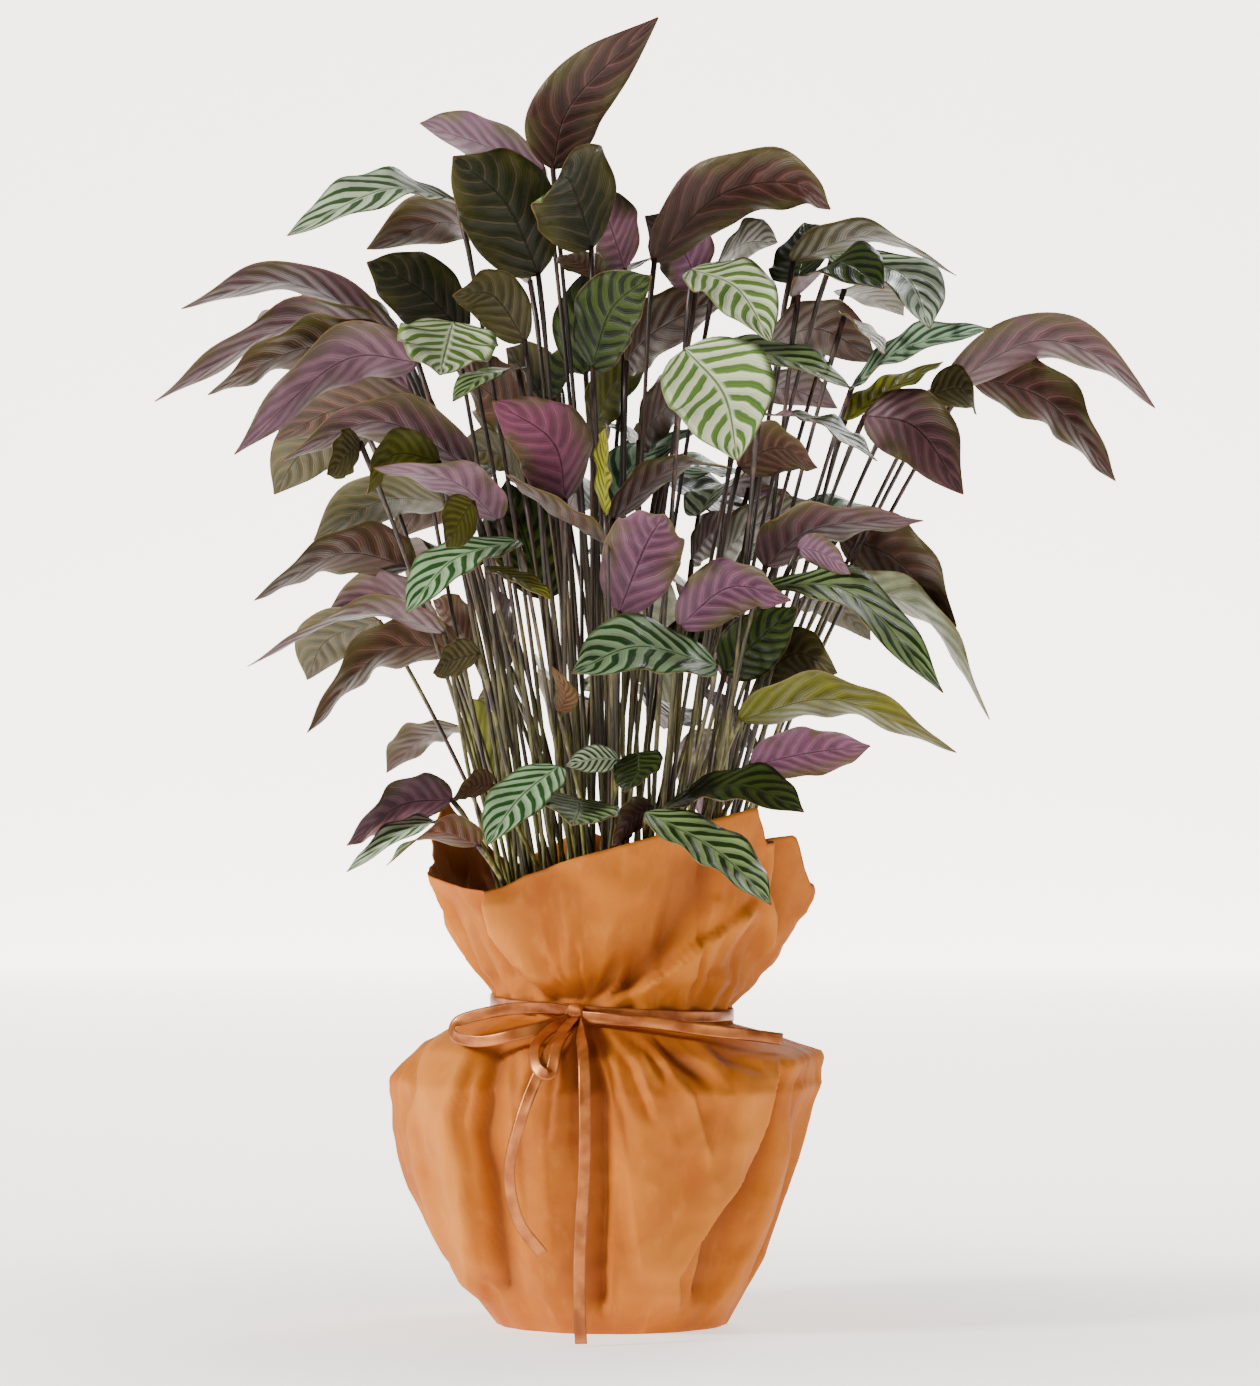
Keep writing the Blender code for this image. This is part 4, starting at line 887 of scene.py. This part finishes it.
def bend_blade(master, tone, line, width, facing, draw):
    """A blade bent along its middle line, waved at its edge, with its own tones on both faces."""
    piece = copy_of(master, "blade")
    points = [curve_point(line, k / BLADE_ROWS) for k in range(BLADE_ROWS + 1)]
    runs, ups = carried(points, facing, BLADE_ROWS // 2)
    wave_size = draw.uniform(*EDGE_WAVE) * width
    wave_count = draw.uniform(*EDGE_WAVES)
    wave_start = draw.uniform(0, math.tau)
    curl = draw.uniform(*EDGE_CURL)
    seen = face_of(tone)
    width *= FULLER.get(tone, FULLER_OTHERS)
    tones = {seen: TONES[seen][tone]}
    if seen == "under":
        tones["top"] = TONES["top"][draw.choice(OTHER_TOP)]
    else:
        tones["under"] = TONES["under"][draw.choice(OTHER_UNDER)]
    shade = draw.uniform(*SHADES)
    paint = {face: [tuple(c * shade * DEEPER[face] for c in linear(colour)) for colour in pair]
             for face, pair in tones.items()}
    flats, under, grounds, stripes = [], [], [], []
    for vertex in piece.data.vertices:
        across, along, lift = vertex.co
        below = lift < vein_swell(across, along)
        row = along * BLADE_ROWS
        k = min(int(row), BLADE_ROWS - 1)
        part = row - k
        centre = points[k].lerp(points[k + 1], part)
        run = runs[k].lerp(runs[k + 1], part)
        up = ups[k].lerp(ups[k + 1], part).normalized()
        side = up.cross(run).normalized()
        half = max(width / 2 * blade_half(along), BLADE_LEAST_HALF)
        phase = wave_start + math.tau * wave_count * along + (math.pi if across > 0 else 0)
        ruffle = wave_size * math.sin(phase) * across * across * min(1.0, 4 * along * (1 - along))
        fold = BLADE_FOLD * half * abs(across) ** FOLD_CURVE + curl * half * across * across
        vertex.co = centre + side * (half * across) + up * (fold + ruffle + lift)
        flats.append(((across + 1) / 2, along))
        under.append(1.0 if below else 0.0)
        ground, stripe = paint["under" if below else "top"]
        grounds.append(ground)
        stripes.append(stripe)
    mark_colours(piece, "ground", grounds)
    mark_colours(piece, "stripe", stripes)
    mark(piece, "under", under)
    write_flat(piece, "blade", flats)
    return piece


def bend_stalk(master, points, radii):
    """A stalk bent along its points, thicker at its foot and at the joint under its blade."""
    piece = copy_of(master, "stalk")
    runs, ups = carried(points, Vector((1, 0, 0)), 0)
    rows = len(points) - 1
    for vertex in piece.data.vertices:
        row = min(max(vertex.co.z, 0.0), 1.0) * rows
        k = min(round(row), rows)
        side = ups[k].cross(runs[k]).normalized()
        vertex.co = points[k] + (ups[k] * vertex.co.x + side * vertex.co.y) * radii[k]
    write_flat(piece)
    return piece


def join(pieces, name):
    """One smooth piece out of several, with every face outwards."""
    select_only(*pieces)
    bpy.ops.object.join()
    piece = rename(name)
    turn_outwards(piece)
    bpy.ops.object.shade_smooth()
    return piece


def stalk_radius(share):
    """A stalk's radius, at a share of its height."""
    joint = JOINT_SWELL if share > JOINT_START else 0.0
    foot = max(0.0, 1 - share * FOOT_FALL) * FOOT_SWELL
    return STALK_RADIUS * (1 + joint + foot)


def make_stem(name, leaves, pose, masters, finishes, draw):
    """One leafy stem: its sheath, and a stalk and a blade for each leaf that the solid holds."""
    blade, stalk = masters
    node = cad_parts[name]
    tree = kdtree.KDTree(len(node.data.vertices))
    feet = []
    for k, vertex in enumerate(node.data.vertices):
        tree.insert(vertex.co, k)
        if vertex.co.z < SOIL_TOP:
            feet.append(vertex.co.copy())
    tree.balance()
    middle = sum(feet, Vector()) / len(feet)
    blades, stalks = [], []
    lean = Vector()
    for leaf in leaves:
        found = find_leaf(leaf, pose, middle, tree)
        if not found:
            continue
        line, width, facing, root, bow = found
        blades.append(bend_blade(blade, leaf[2], line, width, facing, draw))
        reach = line[0] - root
        route = [stalk_point(root, reach, bow, k / STALK_ROWS) for k in range(STALK_ROWS + 1)]
        inner = curve_point(line, BLADE_REACH)
        route[-1] = line[0].lerp(inner, 0.5)
        stalks.append(bend_stalk(stalk, route, [stalk_radius(k / STALK_ROWS) for k in range(STALK_ROWS + 1)]))
        lean += stalk_point(root, reach, bow, SHEATH_LEAN) - root
    shift = lean / max(len(stalks), 1)
    top = SOIL_TOP + SHEATH_HEIGHT
    low = Vector((middle.x, middle.y, SOIL_TOP - SHEATH_SINK))
    high = Vector((middle.x + shift.x, middle.y + shift.y, top + SHEATH_REACH))
    route = [low.lerp(high, k / STALK_ROWS) for k in range(STALK_ROWS + 1)]
    radii = [SHEATH_RADIUS * (1.0 - SHEATH_TAPER * (k / STALK_ROWS) ** 2) for k in range(STALK_ROWS + 1)]
    stalks.append(bend_stalk(stalk, route, radii))
    for piece in blades:
        piece.data.materials.append(finishes[0])
    for piece in stalks:
        piece.data.materials.append(finishes[1])
    piece = join([*blades, *stalks], name + "_dressed")
    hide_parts(name)
    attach(piece, "root")


def make_stems():
    """Every leafy stem, front and back."""
    draw = random.Random(7)
    masters = make_master_blade(), make_master_stalk()
    finishes = leaf_finish(), stalk_finish()
    stems = [(leaves, (0, 1.0, 1.0)) for leaves in STEMS]
    stems += [(STEMS[number - 1], pose) for number, *pose in BACK_STEMS]
    for k, (leaves, pose) in enumerate(stems):
        make_stem(f"shoot_{k + 1:02d}", leaves, pose, masters, finishes, draw)
    for master in masters:
        bpy.data.objects.remove(master)


def between(rows, place):
    """The values at a place along rows that start with their places."""
    for low, high in zip(rows, rows[1:]):
        if place <= high[0]:
            share = (place - low[0]) / (high[0] - low[0])
            return [a + (b - a) * share for a, b in zip(low[1:], high[1:])]
    return list(rows[-1][1:])


def ring_between(rows, angle):
    """The same for rows that go once round."""
    rows = [*rows, (rows[0][0] + 360, *rows[0][1:])]
    return between(rows, (angle - rows[0][0]) % 360 + rows[0][0])


def gather_creases(draw, count, reach):
    """Sharp creases that leave the neck: angle, slant in degrees per centimetre, length, depth and width."""
    creases = []
    for k in range(count):
        angle = 360 * (k + draw.uniform(-GATHER_STRAY, GATHER_STRAY)) / count
        from_knot = (angle - KNOT_ANGLE + 180) % 360 - 180
        slant = draw.uniform(-GATHER_SLANT, GATHER_SLANT)
        slant += math.copysign(KNOT_SLANT, from_knot) * math.exp(-(from_knot / KNOT_SPREAD) ** 2)
        sizes = [draw.uniform(*span) for span in (reach, GATHER_DEPTHS, GATHER_WIDTHS)]
        creases.append((angle, slant, *sizes))
    return creases


def crease_depth(creases, angle, gone):
    """How far the creases draw the paper in, at a distance in centimetres from the neck."""
    depth = 0.0
    for place, slant, length, deep, width in creases:
        if gone > length:
            continue
        away = abs((angle - place - slant * gone + 180) % 360 - 180)
        fade = min(1.0, gone / GATHER_FADE) * (1 - gone / length) ** GATHER_TAIL
        depth += GATHER_DEPTH * deep * fade * max(0.0, 1 - away / width)
    return depth


def front_depth(across, height):
    """How far the creases and hollows that face the viewer draw the paper in."""
    seen = (across, height)
    depth = sum(deep * math.exp(-math.dist(spot, seen) ** 2 / size ** 2) for spot, size, deep in HOLLOWS)
    for line, deep, left, right in FRONT_CREASES:
        top, bottom = line[0][1], line[-1][1]
        if not bottom < height < top:
            continue
        middle = between([(-up, x) for x, up in line], -height)[0]
        away = across - middle
        fade = min(1.0, (top - height) / CREASE_END, (height - bottom) / CREASE_END)
        depth += CREASE_PULL * deep * fade * max(0.0, 1 + away / left if away < 0 else 1 - away / right)
    return depth


def fold_depth(angle, turn, radius, height):
    """How far the listed creases draw the paper in: as seen at the front, and twice over at the back."""
    if turn.y < FRONT_EDGE:
        return front_depth(turn.x * radius, height)
    for centre, way in BACK_FACES:
        away = (angle - centre + 180) % 360 - 180
        if abs(away) < FACE_HALF:
            share = min(1.0, (FACE_HALF - abs(away)) / FACE_FADE)
            return share * front_depth(way * radius * math.sin(math.radians(away)), height)
    return 0.0


def crumple(place, layers):
    """Sharp-edged crumpling, coarse and fine."""
    spots = [(high, place / size + Vector((seed, 0, 0))) for high, size, seed in layers]
    return sum(high * (1 - CRUMPLE_RIDGE * abs(noise.noise(spot))) for high, spot in spots)


def pleat_depth(angle):
    """How far the gathers draw the paper in at the neck."""
    return NECK_PLEAT * (0.5 - 0.5 * math.cos(math.radians(angle) * NECK_PLEATS))


def skirt_point(angle, turn, tilt, share, creases):
    """A spot of the skirt, at a share of its height, and how deep in a fold it lies."""
    height = share * NECK_LEVELS[0]
    gone = NECK_LEVELS[0] - height
    swell = math.sin(math.pi * min(height / SKIRT_SWELL_TOP, 1.0))
    lean, level, spread = SHOULDER
    radius = between([*SKIRT, (NECK_LEVELS[0], NECK_RADIUS)], height)[0]
    radius += SKIRT_LEAN * turn.x * swell + lean * turn.x * math.exp(-((height - level) / spread) ** 2)
    for place, width, depth in FOLDS:
        away = (angle - place + 180) % 360 - 180
        radius -= depth * math.exp(-(away / width) ** 2) * (FOLD_LEAST + (1 - FOLD_LEAST) * swell)
    pull = SKIRT_GATHER_PULL[turn.y >= FRONT_EDGE]
    fold = crease_depth(creases, angle, gone) * (GATHER_LEAST + (1 - GATHER_LEAST) * swell) * pull
    fold += fold_depth(angle, turn, radius, height)
    radius -= fold
    radius -= pleat_depth(angle) * math.exp(-gone / PLEAT_FADE)
    spot = turn * radius + Vector((0, 0, height))
    rough = crumple(spot, SKIRT_CRUMPLE) * min(1.0, height / BOTTOM_FADE, gone / NECK_FADE)
    rough *= 1 - CRUMPLE_LESS * turn.x * turn.x
    rise = tilt * (height / NECK_LEVELS[0]) ** 4
    return spot + turn * (rough + PAPER_PROUD) + Vector((0, 0, rise)), fold


def collar_point(angle, turn, tilt, share, creases):
    """A spot of the collar, at a share of its run from the neck, and how deep in a fold it lies."""
    foot = NECK_LEVELS[1] + tilt
    top, flare = ring_between(COLLAR, angle)
    gone = (top - foot) * share
    back = turn.y >= FRONT_EDGE
    radius = NECK_RADIUS + (flare - NECK_RADIUS) * share ** COLLAR_FLARE
    radius -= pleat_depth(angle) * (1 - share) ** 2
    fold = crease_depth(creases, angle, gone) * COLLAR_GATHER_PULL[back]
    fold += fold_depth(angle, turn, radius, foot + gone)
    radius -= fold
    spot = turn * radius + Vector((0, 0, foot + gone))
    rough = crumple(spot, COLLAR_CRUMPLE) * min(1.0, gone / NECK_FADE)
    rough *= 1.0 if back else 1 - CRUMPLE_LESS * share
    edge = EDGE_HEIGHT[back] * crumple(spot, EDGE_CRUMPLE) * share ** 4
    return spot + turn * rough + Vector((0, 0, min(edge, EDGE_MOST))), fold


def wrap_point(angle, share, creases):
    """A spot of the paper and how deep in a fold it lies, at a share of its run from the bottom's rim."""
    turn = Vector((math.cos(math.radians(angle)), math.sin(math.radians(angle)), 0))
    tilt = NECK_TILT * NECK_RADIUS * turn.x
    if share <= SKIRT_SHARE:
        return skirt_point(angle, turn, tilt, share / SKIRT_SHARE, creases[0])
    if share > NECK_SHARE:
        return collar_point(angle, turn, tilt, (share - NECK_SHARE) / (1 - NECK_SHARE), creases[1])
    pleat = pleat_depth(angle)
    low, high = NECK_LEVELS
    height = low + (share - SKIRT_SHARE) / (NECK_SHARE - SKIRT_SHARE) * (high - low)
    return turn * (NECK_RADIUS - pleat) + Vector((0, 0, height + tilt)), pleat * 2


def make_wrap():
    """The paper: one sheet under the pot, round it, gathered at the neck and flared above."""
    draw = random.Random(11)
    creases = gather_creases(draw, *SKIRT_GATHERS), gather_creases(draw, *COLLAR_GATHERS)
    bpy.ops.mesh.primitive_circle_add(vertices=WRAP_COLUMNS, radius=1, fill_type="NOTHING")
    wrap = rename("wrap_dressed")
    bpy.ops.object.mode_set(mode="EDIT")
    bpy.ops.mesh.select_all(action="SELECT")
    for _ in range(WRAP_ROWS + BOTTOM_ROWS):
        bpy.ops.mesh.extrude_region_move(TRANSFORM_OT_translate={"value": (0, 0, 1)})
    bpy.ops.object.mode_set(mode="OBJECT")
    flats, folds = [], []
    for vertex in wrap.data.vertices:
        turn = math.atan2(vertex.co.y, vertex.co.x)
        angle = math.degrees(turn - FRONT_CROWDING * math.cos(turn)) % 360
        row = round(vertex.co.z)
        spot, fold = wrap_point(angle, max(row - BOTTOM_ROWS, 0) / WRAP_ROWS, creases)
        if row < BOTTOM_ROWS:
            share = BOTTOM_HOLE + (1 - BOTTOM_HOLE) * row / BOTTOM_ROWS
            spot = Vector((spot.x * share, spot.y * share, 0.0))
        vertex.co = spot * CM
        flats.append((angle / 360, row / (WRAP_ROWS + BOTTOM_ROWS)))
        folds.append(fold)
    # The fold depth of each spot, which the paper's material paints as shade in the valleys and highlight on
    # the ridges
    mark(wrap, "fold", folds)
    layer = wrap.data.uv_layers.new(name="sheet")
    for face in wrap.data.polygons:
        turns = [flats[wrap.data.loops[i].vertex_index][0] for i in face.loop_indices]
        for i, turn in zip(face.loop_indices, turns):
            across = turn + 1 if max(turns) - turn > 0.5 else turn
            layer.data[i].uv = (across, flats[wrap.data.loops[i].vertex_index][1])
    turn_outwards(wrap)
    apply_modifier(wrap, "SOLIDIFY", thickness=PAPER, offset=-1.0)
    bpy.ops.object.shade_smooth()
    wrap.data.materials.append(paper_finish())
    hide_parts("paper_wrap")
    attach(wrap, "root")


def bend_strap(points, faces, width, closed=False):
    """A ribbon along the points, with a soft cup across it."""
    rows = len(points) - 1
    bpy.ops.mesh.primitive_grid_add(x_subdivisions=STRAP_COLUMNS, y_subdivisions=rows, size=2)
    piece = rename("strap")
    flats = []
    lengths = list(accumulate(((b - a).length for a, b in zip(points, points[1:])), initial=0.0))
    for vertex in piece.data.vertices:
        across, along = vertex.co.x, (vertex.co.y + 1) / 2
        k = min(round(along * rows), rows)
        before, after = points[max(k - 1, 0)], points[min(k + 1, rows)]
        if closed and k in (0, rows):
            before, after = points[rows - 1], points[1]
        run = (after - before).normalized()
        side = run.cross(faces[k]).normalized()
        up = side.cross(run)
        cup = CUP_DEPTH * math.sin(lengths[k] / CUP_LENGTH) * (across * across - 0.4)
        vertex.co = points[k] + side * (across * width / 2) + up * cup
        flats.append((lengths[k], (across + 1) / 2))
    write_flat(piece, "strap", flats)
    if closed:
        select_only(piece)
        bpy.ops.object.mode_set(mode="EDIT")
        bpy.ops.mesh.select_all(action="SELECT")
        bpy.ops.mesh.remove_doubles(threshold=0.00001)
        bpy.ops.object.mode_set(mode="OBJECT")
    apply_modifier(piece, "SOLIDIFY", thickness=RIBBON_THICKNESS, offset=0.0)
    return piece


def make_knot():
    """The knot: a pinched bundle of satin with deep folds along it."""
    turn = Matrix.Rotation(math.radians(KNOT_ANGLE), 3, "Z")
    middle = turn @ Vector((KNOT_BACK + KNOT_SIZE[0] / 2, 0, KNOT_HEIGHT)) * CM
    bpy.ops.mesh.primitive_uv_sphere_add(segments=48, ring_count=32, radius=1)
    knot = rename("knot")
    for vertex in knot.data.vertices:
        x, y, z = vertex.co
        bulk = (abs(x) ** 3 + abs(y) ** 3 + abs(z) ** 3) ** (-1 / 3)
        spot = vertex.co * bulk
        pleat = 1 - KNOT_PLEAT * abs(math.sin(spot.z * 3.2 + 0.8 * spot.y + 0.6 * math.sin(2.1 * spot.x)))
        waist = KNOT_WAIST + (1 - KNOT_WAIST) * abs(spot.y)
        spot = Vector((spot.x * pleat, spot.y, spot.z * waist))
        vertex.co = middle + turn @ Vector([c * size / 2 * CM for c, size in zip(spot, KNOT_SIZE)])
    knot.data.uv_layers[0].name = "strap"
    for uv in knot.data.uv_layers[0].data:
        uv.uv = (uv.uv[0] * 0.03, 0.2 + 0.6 * uv.uv[1])
    return knot


def make_ribbon():
    """The ribbon: a band round the neck, a knot, two loops, two tails and a strand to the right."""
    radius = BAND_RADIUS * CM
    level = sum(NECK_LEVELS) / 2 * CM
    ring = []
    for k in range(BAND_STEPS + 1):
        angle = math.tau * k / BAND_STEPS
        spot = Vector((radius * math.cos(angle), radius * math.sin(angle), 0))
        spot.z = level + NECK_TILT * spot.x
        ring.append(spot)
    pieces = [bend_strap(ring, [Vector((p.x, p.y, 0)).normalized() for p in ring], RIBBON_WIDTH, closed=True)]
    for places in RIBBON_STRANDS:
        route = [Vector(p) * CM for p in places]
        count = STRAND_STEPS * (len(route) - 1)
        smooth = [curve_point(route, k / count) for k in range(count + 1)]
        faces = [Vector((p.x, p.y, 0)).normalized() for p in smooth]
        pieces.append(bend_strap(smooth, faces, RIBBON_WIDTH))
    pieces.append(make_knot())
    finish = satin_finish()
    for piece in pieces:
        piece.data.materials.clear()
        piece.data.materials.append(finish)
    ribbon = join(pieces, "ribbon_dressed")
    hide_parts("ribbon")
    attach(ribbon, "root")


def make_crumbs():
    """Loose crumbs of peat and perlite on the soil."""
    draw = random.Random(5)
    bpy.ops.mesh.primitive_ico_sphere_add(subdivisions=1, radius=1)
    master = rename("crumb")
    crumbs = []
    for _ in range(CRUMBS):
        crumb = copy_of(master, "crumb")
        reach = CRUMB_REACH * math.sqrt(draw.random())
        angle = draw.uniform(0, math.tau)
        size = draw.uniform(*CRUMB_SIZES)
        middle = Vector((reach * math.cos(angle), reach * math.sin(angle), SOIL_TOP / CM + CRUMB_LIFT * size))
        for vertex in crumb.data.vertices:
            vertex.co = (middle + vertex.co * size * draw.uniform(*CRUMB_DENTS)) * CM
        crumbs.append(crumb)
    bpy.data.objects.remove(master)
    piece = join(crumbs, "soil_crumbs")
    finish = soil_finish()
    piece.data.materials.append(finish)
    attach(piece, "root")
    return finish


def dress_node(name, finish):
    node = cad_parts[name]
    node.data.materials.clear()
    node.data.materials.append(finish)


def make_room():
    """A pale floor and a bright wall far behind, both glowing, the floor's glow weaker near the pot as a
    painted shadow, with soft studio light.
    """
    for name, place, turn, size, glow in ROOM:
        bpy.ops.mesh.primitive_plane_add(size=1, location=place, rotation=(math.radians(turn), 0, 0))
        plane = rename(name)
        plane.scale = (*size, 1)
        bpy.ops.object.transform_apply(location=True, rotation=True, scale=True)
        wash = Finish(name + "_wash", Roughness=0.9, Emission_Strength=glow)
        cloud = wash.noise(wash.place(), 0.6, 2.0)
        wash.put("Base Color", wash.mix(cloud, (247, 245, 240), (250, 248, 244)))
        side = wash.node("ShaderNodeSeparateXYZ", Vector=wash.place())
        out = wash.node("ShaderNodeVectorMath", {"operation": "LENGTH"}, output=1, i0=wash.place())
        share = out.step(*GLOW_OUT) * OUT_SHARE + side.beside(1).step(*GLOW_BACK) * (1 - OUT_SHARE)
        share *= 1.0 - side.math("ABSOLUTE").step(*GLOW_SIDES)
        # The floor glows less near the pot: a painted shadow round its foot
        share = share * (1 - GLOW_NEAR) + GLOW_NEAR
        wash.put("Emission Color", wash.mix(share, (0, 0, 0), (252, 246, 238)))
        plane.data.materials.append(wash.material)
    world = bpy.data.worlds.new("studio")
    bpy.context.scene.world = world
    world.use_nodes = True
    sky = world.node_tree.nodes["Background"].inputs
    sky["Color"].default_value = (*linear((246, 244, 240)), 1.0)
    sky["Strength"].default_value = SKY
    for name, place, aim, size, power in LAMPS:
        bpy.ops.object.light_add(type="AREA", location=place)
        lamp = rename(name)
        lamp.data.size = size
        lamp.data.energy = power
        lamp.rotation_euler = (Vector(aim) - Vector(place)).to_track_quat("-Z", "Y").to_euler()


def make_camera():
    data = bpy.data.cameras.new("view")
    camera = bpy.data.objects.new("view", data)
    bpy.context.scene.collection.objects.link(camera)
    camera.location = (CAMERA_ACROSS, EYE.y, EYE.z)
    camera.rotation_euler = (math.radians(90), 0, 0)
    data.lens = CAMERA_LENS
    data.clip_end = CAMERA_FAR
    bpy.context.scene.camera = camera


make_camera()
make_stems()
make_wrap()
make_ribbon()
dress_node("soil", make_crumbs())
dress_node("nursery_pot", pot_finish())
make_room()
